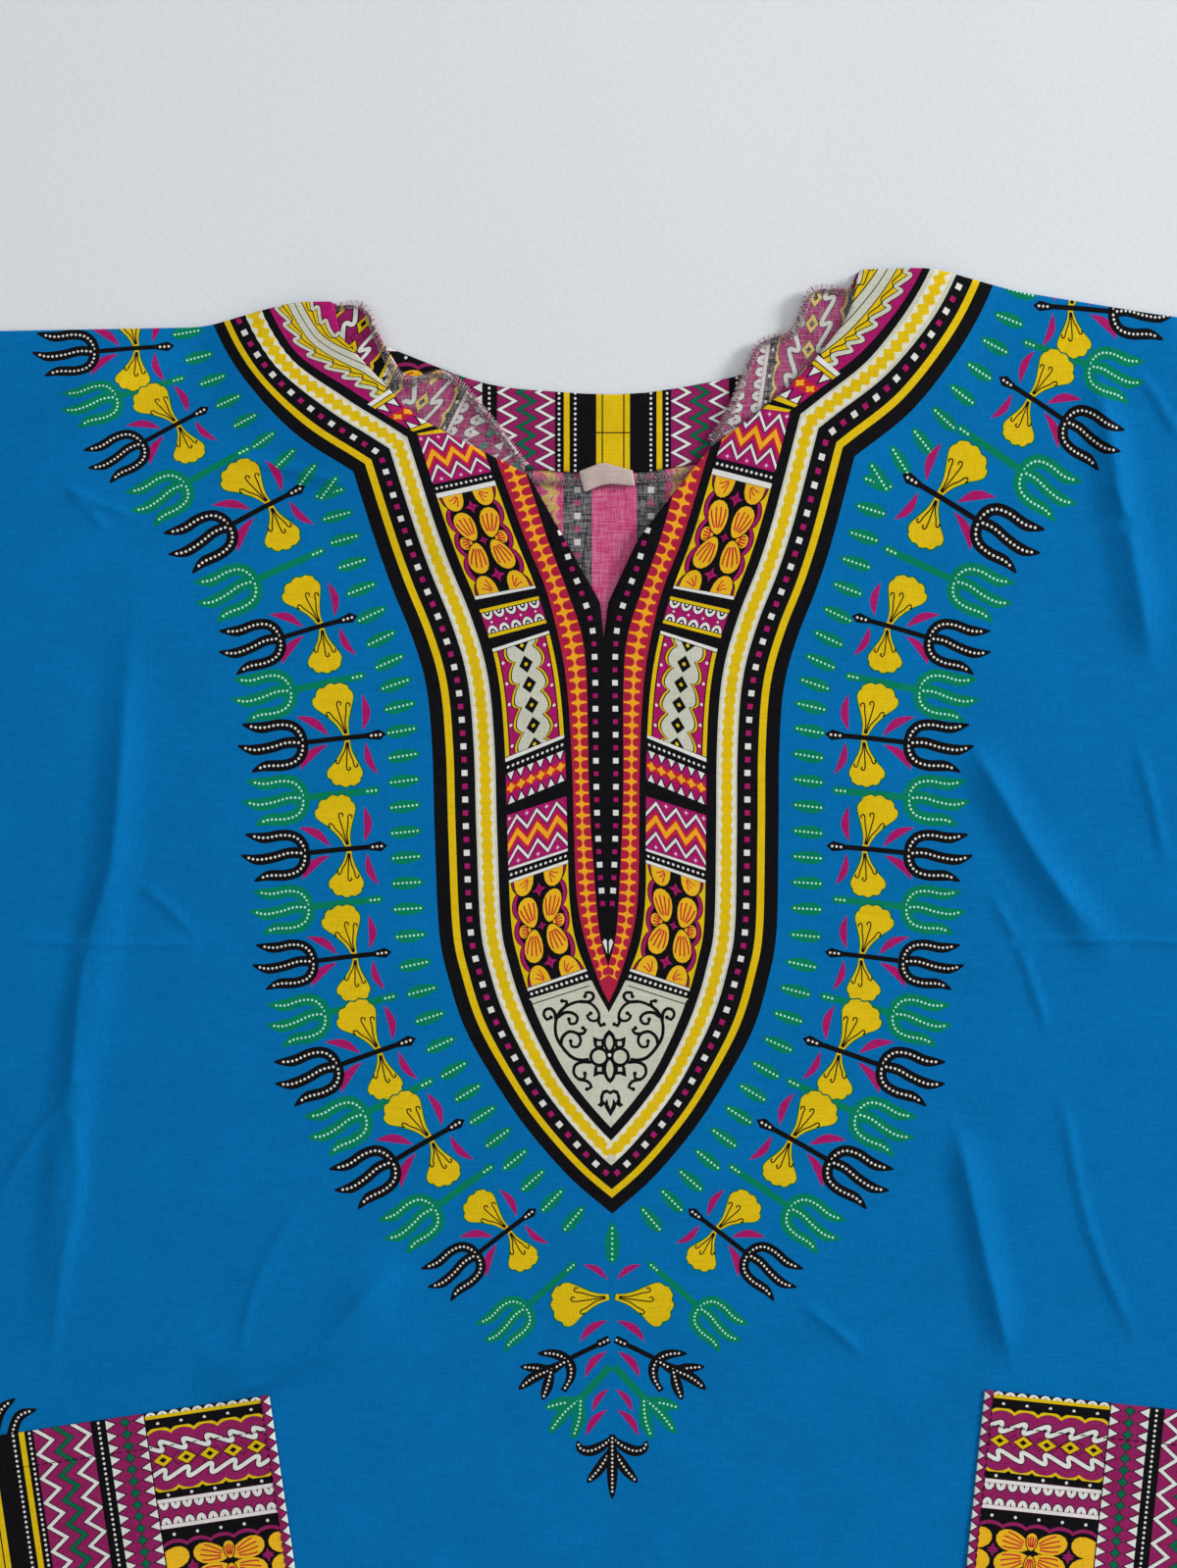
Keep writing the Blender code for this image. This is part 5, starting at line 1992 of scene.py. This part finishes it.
    def back_side(self, edge: Points, inset: Points) -> tuple[Points, list[tuple[int, int, int]]]:
        """Return the points and triangles of the underside, starting with the shared edge."""
        free = self.spread(edge, self.back_grid, 0.0065)
        vectors = [Vector(point) for point in np.vstack([edge, inset, free])]
        start = len(edge)
        edges = [(start + index, start + (index + 1) % len(inset)) for index in range(len(inset))]
        made, _edges, faces, origins, _e, owners = delaunay_2d_cdt(
            vectors, edges, [list(range(len(edge)))], 1, 1e-8, True)
        kept = [face for face, owner in zip(faces, owners) if owner]
        place = {}
        for index, origin in enumerate(origins):
            for number in origin:
                if number < len(edge):
                    place[index] = number
        used = sorted({index for face in kept for index in face} - set(place))
        for number, index in enumerate(used):
            place[index] = len(edge) + number
        points = np.vstack([edge, np.array([made[index] for index in used]).reshape(-1, 2)])
        return points, [tuple(place[index] for index in face) for face in kept]


# ---------------------------------------------------------------- sewing thread


@dataclass
class Thread:
    """Sewing thread of one dye, gathered into one piece.

    Attributes:
        name: The piece's name.
        dye: The thread's dye.
        radius: Half its thickness.
    """

    name: str
    dye: Dye
    radius: float = 0.00022
    vertices: list[Points] = field(default_factory=list)
    faces: list[np.ndarray] = field(default_factory=list)
    count: int = 0

    def add(self, line: Points) -> None:
        """Add one length of thread along a line in space."""
        run = np.gradient(line, axis=0)
        side = np.stack([-run[:, 1], run[:, 0], np.zeros(len(line))], 1)
        side /= np.maximum(np.linalg.norm(side, axis=1, keepdims=True), 1e-9)
        rise = np.array([0.0, 0.0, 1.0])
        ring = [line + self.radius * (math.cos(turn) * side + math.sin(turn) * rise)
                for turn in (math.pi / 2, math.pi * 7 / 6, math.pi * 11 / 6)]
        points = np.stack(ring, 1).reshape(-1, 3)
        first = self.count + 3 * np.arange(len(line) - 1)[:, None]
        parts = [self.count + np.array([[0, 2, 1]])]
        for a, b in ((0, 1), (1, 2), (2, 0)):
            parts.append(np.hstack([first + a, first + b, first + 3 + b]))
            parts.append(np.hstack([first + a, first + 3 + b, first + 3 + a]))
        last = self.count + 3 * (len(line) - 1)
        parts.append(last + np.array([[0, 1, 2]]))
        self.vertices.append(points)
        self.faces.append(np.vstack(parts))
        self.count += len(points)

    def running(self, line: Points, height: Height, stitch: float = 0.0028, gap: float = 0.0009) -> None:
        """Sew a row of running stitches along a line on the cloth."""
        for start in np.arange(0.0, lengths(line)[-1] - stitch, stitch + gap):
            spots = at_length(line, start + np.array([0.0, 0.25, 0.75, 1.0]) * stitch)
            lift = self.radius * np.array([-0.6, 0.7, 0.7, -0.6])
            self.add(np.column_stack([spots, height(spots) + lift]))

    def overlock(self, line: Points, height: Height, out: float, within: float, pitch: float,
                 phase: float) -> None:
        """Sew a loose zigzag over a cut edge.

        Args:
            line: The cut edge, with the cloth on its left.
            height: The height of the cloth's upper side.
            out: How far the loops hang over the edge.
            within: How far they reach into the cloth.
            pitch: How far apart the loops are.
            phase: Where along the edge the zigzag starts, as a share of the pitch.
        """
        where = np.arange(phase * pitch, lengths(line)[-1], pitch / 2)
        number = np.arange(len(where))
        stray = 0.22 * np.sin(2.7 * number + 9 * phase) + 0.18 * np.sin(1.13 * number)
        spots = at_length(line, where + 0.4 * pitch * stray)
        ahead = at_length(line, where + 0.002) - at_length(line, where - 0.002)
        ahead /= np.maximum(np.linalg.norm(ahead, axis=1, keepdims=True), 1e-9)
        left = np.stack([-ahead[:, 1], ahead[:, 0]], 1)
        reach = np.where(number % 2, within, -out) * (1 + 0.5 * stray)
        spots = spots + left * reach[:, None]
        lift = np.where(number % 2, 0.9, 2.0) * self.radius + 0.0002 * (1 + stray)
        self.add(np.column_stack([spots, height(spots) + lift]))

    def build(self) -> bpy.types.Object:
        """Build the thread and return it."""
        mesh = bpy.data.meshes.new(self.name)
        mesh.from_pydata(np.vstack(self.vertices).tolist(), [], np.vstack(self.faces).tolist())
        mesh.materials.append(cotton_material(self.dye))
        mesh.shade_smooth()
        piece = add_object(self.name, mesh)
        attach(piece, "root")
        LOG.info("%s: %d triangles", self.name, len(mesh.polygons))
        return piece


# ---------------------------------------------------------------- the pieces of the shirt


def level_at(height: float) -> Height:
    """Return the same height at every place."""
    return lambda points: np.full(len(points), height)


def outward(middle: float, side: int) -> Place:
    """Return where places counted out from a middle line, to one side, lie on the cloth."""
    return lambda points: np.stack([middle + side * points[:, 0], points[:, 1]], 1)


@dataclass(frozen=True)
class Pocket:
    """A leaning patch pocket.

    Attributes:
        x: Its inner top corner.
        drop: How far that corner is below the top of the shirt.
        side: -1 for the left pocket and 1 for the right.
        lean: How far it is turned.
    """

    name: str
    x: float
    drop: float
    side: int
    lean: float
    width: float = 0.172
    depth: float = 0.180

    def place(self, points: Points, top: float) -> Points:
        """Return the places on the cloth of places counted outward and up along its inner edge.

        Args:
            points: The places, in millimetres.
            top: The height of the shirt's top, in millimetres.
        """
        across = np.array([math.cos(self.lean), math.sin(self.lean)]) * self.side
        down = np.array([math.sin(self.lean), -math.cos(self.lean)])
        corner = np.array([self.x / MM, top - self.drop / MM])
        return corner + points[:, :1] * across + (self.depth / MM - points[:, 1:]) * down

    def outline(self, top: float) -> Points:
        """Return its outline, in metres."""
        return self.place(box(0.0, 0.0, self.width / MM, self.depth / MM), top / MM) * MM

    def draw(self, canvas: PrintCanvas, top: float) -> None:
        """Draw its print."""
        deep = self.depth / MM

        def place(points: Points) -> Points:
            """Return the cloth places of the pocket's places."""
            return self.place(points, top / MM)

        border = BorderPrint(canvas)
        middle = (145.0, 0.0)
        left, right = 4.0, 61.6
        border.upright(lambda points: place(points * (-1, 1) + middle), 0.0, deep)
        border.upright(lambda points: place(points + middle), 0.0, deep)
        for top_of_block, turned_over in ((deep, False), (deep, True), (deep - 154.0, False)):
            border.block(place, left, right, top_of_block, turned_over)
        edge = Tile(canvas, deep, 62.2, lambda points: place(points[:, ::-1]))
        edge.bar(Dye.BLACK, right, 62.2)
        edge.bar(Dye.MULBERRY, 0.0, 4.4)
        edge.teeth(Dye.BLACK, 0.0, 4.0, 5.8, 1.0)
        edge.teeth(Dye.WHITE, 0.0, 3.2, 5.8, 0.8)


POCKETS = (
    Pocket("left_pocket", -0.1665, 0.5500, -1, math.radians(8.5)),
    Pocket("right_pocket", 0.1829, 0.5475, 1, math.radians(-6.0)),
)


@dataclass
class Shirt:
    """All the pieces of cloth, built from the bottom up."""

    cut: ShirtCut
    lie: Lie
    wall: float = 0.0009

    def settle(self, piece: bpy.types.Object, node: str,
               sewn: Sequence[str] = ()) -> None:
        """Attach a piece of cloth to the root and hide the solid that it replaces.

        Args:
            piece: The piece.
            node: The solid that it replaces.
            sewn: The threads that are part of it; not used.
        """
        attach(piece, "root")
        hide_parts(node)

    def build(self) -> None:
        """Build every piece."""
        self.build_back()
        self.build_facing()
        self.build_flaps()
        self.build_label()
        self.build_front()
        for pocket in POCKETS:
            self.build_pocket(pocket)

    def build_back(self) -> None:
        """Build the back, whose upper side shows the wrong side of its print."""
        canvas = PrintCanvas(wrong_side=True)
        for side in (-1, 1):
            place = outward(2.0, side)
            tile = Tile(canvas, 160.0, 50.0, lambda points: place(points[:, ::-1] + (0.0, 160.0)))
            for dye, low, high in ((Dye.PINK, 0.0, 11.0), (Dye.BLACK, 11.0, 25.0),
                                   (Dye.PINK, 25.0, 40.0), (Dye.BLACK, 40.0, 50.0)):
                tile.bar(dye, low, high)
            for index, y in enumerate(np.arange(4.0, 156.0, 6.4)):
                tile.shape(Dye.WHITE if index % 2 else Dye.MAGENTA, box(y, 16.4, y + 3.0, 19.6))
            tile.zigzag(Dye.YELLOW, 32.0, 5.0, 5.0, 7.0)
            tile.arches(Dye.AMBER, 27.0, 2.4, 1.6, 7.0)
        shell = ClothShell("back_cloth", self.cut.rounded(self.cut.panel(self.cut.back_neck())),
                           level_at(0.0), canvas, Dye.BLUE_WRONG, Dye.BLUE, grid=0.010)
        self.settle(shell.build(), "back_panel")

    def build_facing(self) -> None:
        """Build the facing inside the back neck, with its serged lower edge."""
        canvas = PrintCanvas()
        border = BorderPrint(canvas, zigzag=8.4)
        for side in (-1, 1):
            place = outward(1.4, side)
            for turned_over in (False, True):
                border.block(place, 83.0, 168.0, 412.0, turned_over)
            border.upright(place, 280.0, 406.0)
        canvas.lay(Dye.BLACK, box(-6.8, 314.6, 9.6, 315.2))
        level = 0.0011
        shell = ClothShell("back_facing_cloth", self.cut.rounded(self.cut.facing()),
                           level_at(level), canvas, Dye.BLACK, Dye.BLACK_WRONG, thickness=0.0008,
                           grid=0.008)
        piece = shell.build()
        edge = spline([(corner.x, corner.y) for corner in self.cut.facing()[-6:]], 0.004)
        sewn = self.serge("facing", edge, level_at(level + 0.0008))
        self.settle(piece, "back_neck_facing",
                    sewn)

    def serge(self, name: str, edge: Points, height: Height) -> list[str]:
        """Sew over a cut edge with white and pink thread and return the threads' names."""
        names = []
        for dye, phase in ((Dye.WHITE, 0.1), (Dye.PINK, 0.65)):
            thread = Thread(f"{name}_serging_{dye.name.lower()}", dye, 0.00030)
            for step in (0.0, 0.45) if dye is Dye.WHITE else (0.0,):
                thread.overlock(edge, height, 0.0006, 0.0034, 0.0027, phase + step)
            inner = beside(edge, 0.0030)
            thread.running(inner, lambda points: height(points) + 0.0003, 0.0030, 0.0010)
            names.append(thread.build().name)
        return names

    def build_flaps(self) -> None:
        """Build the two turned-over ends of the neck facing, which show their wrong side."""
        turned = ((-1, "left", self.cut.left_flap(), 0.50, 330.0),
                  (1, "right", self.cut.right_flap(), -0.14, 340.0))
        for side, name, corners, tilt, level in turned:
            canvas = PrintCanvas(wrong_side=True)

            def place(points: Points, side: int = side, tilt: float = tilt, level: float = level
                      ) -> Points:
                """Return the cloth places of places counted out from the middle."""
                out = points[:, 0] + tilt * (level - points[:, 1])
                return np.stack([1.4 + side * out, points[:, 1]], 1)

            def along(points: Points) -> Points:
                """Return the cloth places of a block that lies on its side."""
                return place(np.stack([40.0 + points[:, 1], 260.0 + points[:, 0]], 1))

            paint_banded_block(Tile(canvas, 139.7, 77.0, along))
            whole = Tile(canvas, 64.0, 130.0, lambda points: place(points + (0.0, 270.0)))
            paint_green_diamonds(whole.part(43.0, 0.0, 61.5, 130.0).turned())
            paint_zigzags(whole.part(15.0, 0.0, 43.0, 130.0).turned())
            canvas.wrong_side = False
            paint_banded_block(Tile(canvas, 139.7, 77.0, lambda points: place(
                np.stack([194.0 - points[:, 1], 260.0 + points[:, 0]], 1))))
            loose = tuple((corner.x, corner.y) for corner in corners[:7])
            ripple = Crease(loose, 0.0016, 0.010)
            bed = 0.0021

            def under(points: Points, ripple: Crease = ripple) -> np.ndarray:
                """Return the height of the flap's underside."""
                wave = 0.5 + 0.5 * np.sin(points[:, 0] * 260 + points[:, 1] * 170)
                return bed + ripple.raise_at(points) * wave

            shell = ClothShell(f"{name}_facing_cloth", self.cut.rounded(corners), under, canvas,
                               Dye.MAGENTA_WRONG, Dye.MAGENTA, thickness=0.0008, grid=0.005)
            piece = shell.build()
            edge = spline(loose, 0.003)[::side]  # with the cloth on its left
            sewn = self.serge(f"{name}_flap", edge, lambda points, under=under: under(points) + 0.0009)
            self.settle(piece, f"{name}_neck_facing",
                        sewn)

    def build_label(self) -> None:
        """Build the bare neck label."""
        shell = ClothShell("neck_label_cloth", self.cut.rounded(self.cut.label()),
                           lambda points: 0.0028 + 0.1 * np.maximum(0.0, 0.004 - np.abs(points[:, 0])),
                           PrintCanvas(), Dye.TAPE, Dye.TAPE, thickness=0.0006, grid=0.003)
        piece = shell.build()
        self.settle(piece, "neck_label")

    def front_top(self, points: Points) -> np.ndarray:
        """Return the height of the front's upper side."""
        return self.lie.front_underside(points) + self.wall

    def build_front(self) -> None:
        """Build the front with its neck print, flower border and hems."""
        canvas = PrintCanvas()
        neck = NeckPrint(canvas)
        FlowerBorder(neck).draw()
        neck.draw()
        LOG.info("front print: %d shapes", len(canvas.shapes))
        shell = ClothShell("front_cloth", self.cut.rounded(self.cut.panel(self.cut.front_neck())),
                           self.lie.front_underside, canvas, Dye.BLUE, Dye.BLUE_WRONG, creases=CREASES,
                           printed=((-0.300, -0.212), (0.292, 0.396)))
        piece = shell.build()
        hems = Thread("hem_stitches", Dye.BLUE)
        low = 0.018 - self.cut.top
        hems.running(np.array([(-0.380, low), (0.380, low)]), self.front_top)
        for side in (-1, 1):
            cuff = side * (self.cut.cuff_to_cuff / 2 - 0.018)
            hems.running(np.array([(cuff, self.cut.top - 0.040), (cuff, self.cut.top - 0.286)]),
                         self.front_top)
        self.settle(piece, "front_panel",
                    [hems.build().name])

    def build_pocket(self, pocket: Pocket) -> None:
        """Build a pocket and its stitching."""
        canvas = PrintCanvas()
        pocket.draw(canvas, self.cut.top)
        gap = 0.0003

        def under(points: Points) -> np.ndarray:
            """Return the height of the pocket's underside."""
            return self.front_top(points) + gap

        shell = ClothShell(f"{pocket.name}_cloth", pocket.outline(self.cut.top), under, canvas,
                           Dye.MULBERRY, Dye.MAGENTA_WRONG, thickness=0.0008)
        piece = shell.build()
        thread = Thread(f"{pocket.name}_stitches", Dye.BLACK, 0.00026)
        wide, deep = pocket.width / MM, pocket.depth / MM
        near, far, hem = 4.4, wide - 4.4, deep - 17.0
        row = np.array([(near, deep - 2.0), (near, near), (far, near), (far, deep - 2.0)])
        for line in (row, np.array([(near, hem), (far, hem)])):
            route = pocket.place(line, self.cut.top / MM) * MM
            thread.running(route, lambda points: under(points) + 0.0008)
        self.settle(piece, pocket.name,
                    [thread.build().name])


# ---------------------------------------------------------------- the studio


@dataclass
class Studio:
    """The table top, the soft lights and the camera."""

    centre: tuple[float, float] = (-0.0106, 0.1432)
    seen_height: float = 0.7675
    camera_height: float = 1.30

    def build(self) -> None:
        """Build the floor, the lights, the sky and the camera."""
        self.build_floor()
        self.build_light("softbox_right", (3.2, 1.6, 1.35), 1.0, 124.0)
        self.build_light("softbox_left", (-1.9, 1.0, 2.0), 1.6, 6.0)
        self.build_light("softbox_overhead", (0.0, 0.2, 2.9), 2.4, 7.0)
        world = bpy.data.worlds.new("studio_air")
        world.use_nodes = True
        sky = world.node_tree.nodes["Background"].inputs
        sky["Color"].default_value = (0.93, 0.96, 1.0, 1.0)
        sky["Strength"].default_value = 0.425
        bpy.context.scene.world = world
        bpy.context.scene.view_settings.view_transform = "Standard"
        self.build_camera()

    def build_floor(self) -> None:
        """Build a pale cloth-covered table top."""
        mesh = bpy.data.meshes.new("floor")
        reach = 4.0
        mesh.from_pydata([(-reach, -reach, 0.0), (reach, -reach, 0.0), (reach, reach, 0.0),
                          (-reach, reach, 0.0)], [], [(0, 1, 2, 3)])
        material = bpy.data.materials.new("table_cloth")
        material.use_nodes = True
        graph = Graph(material.node_tree)
        place = graph.node("TexCoord").outputs["Object"]
        grain = graph.node("TexNoise", {"Vector": place, "Scale": 420.0, "Detail": 3.0}).outputs[0]
        cloud = graph.node("TexNoise", {"Vector": place, "Scale": 3.0, "Detail": 3.0}).outputs[0]
        tone = graph.math("ADD", graph.ramp(grain, 0.3, 0.7, (-0.02, 0.02)),
                          graph.ramp(cloud, 0.3, 0.7, (0.98, 1.02)))
        pale = graph.node("HueSaturation", {"Color": (0.80, 0.823, 0.834, 1.0), "Value": tone}).outputs[0]
        bump = graph.node("Bump", {"Height": grain, "Strength": 0.25, "Distance": 0.0004})
        shader = graph.node("BsdfPrincipled", {"Base Color": pale, "Roughness": 0.9,
                                               "Normal": bump.outputs[0], "Specular IOR Level": 0.2})
        graph.node("OutputMaterial", {"Surface": shader.outputs[0]})
        mesh.materials.append(material)
        floor = add_object("floor", mesh)
        floor.location.z = -0.0002

    @staticmethod
    def build_light(name: str, place: tuple[float, float, float], size: float, power: float) -> None:
        """Hang a square softbox that faces the shirt."""
        lamp = bpy.data.lights.new(name, "AREA")
        lamp.size = size
        lamp.energy = power
        light = add_object(name, lamp)
        light.location = place
        aim = Vector((0.0, 0.1, 0.0)) - Vector(place)
        light.rotation_euler = aim.to_track_quat("-Z", "Y").to_euler()

    def build_camera(self) -> None:
        """Look straight down at the upper part of the shirt."""
        lens = bpy.data.cameras.new("camera")
        lens.lens = 0.5 * lens.sensor_width * self.camera_height / (0.5 * self.seen_height)
        camera = add_object("camera", lens)
        camera.location = (*self.centre, self.camera_height)
        bpy.context.scene.camera = camera


def main() -> None:
    """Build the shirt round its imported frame."""
    logging.basicConfig(level=logging.INFO, format="%(name)s: %(message)s")
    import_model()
    cut = ShirtCut(top=round(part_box("back_panel")[1].y, 4))
    Studio().build()
    Shirt(cut, Lie(cut)).build()


if __name__ == "__main__":
    main()
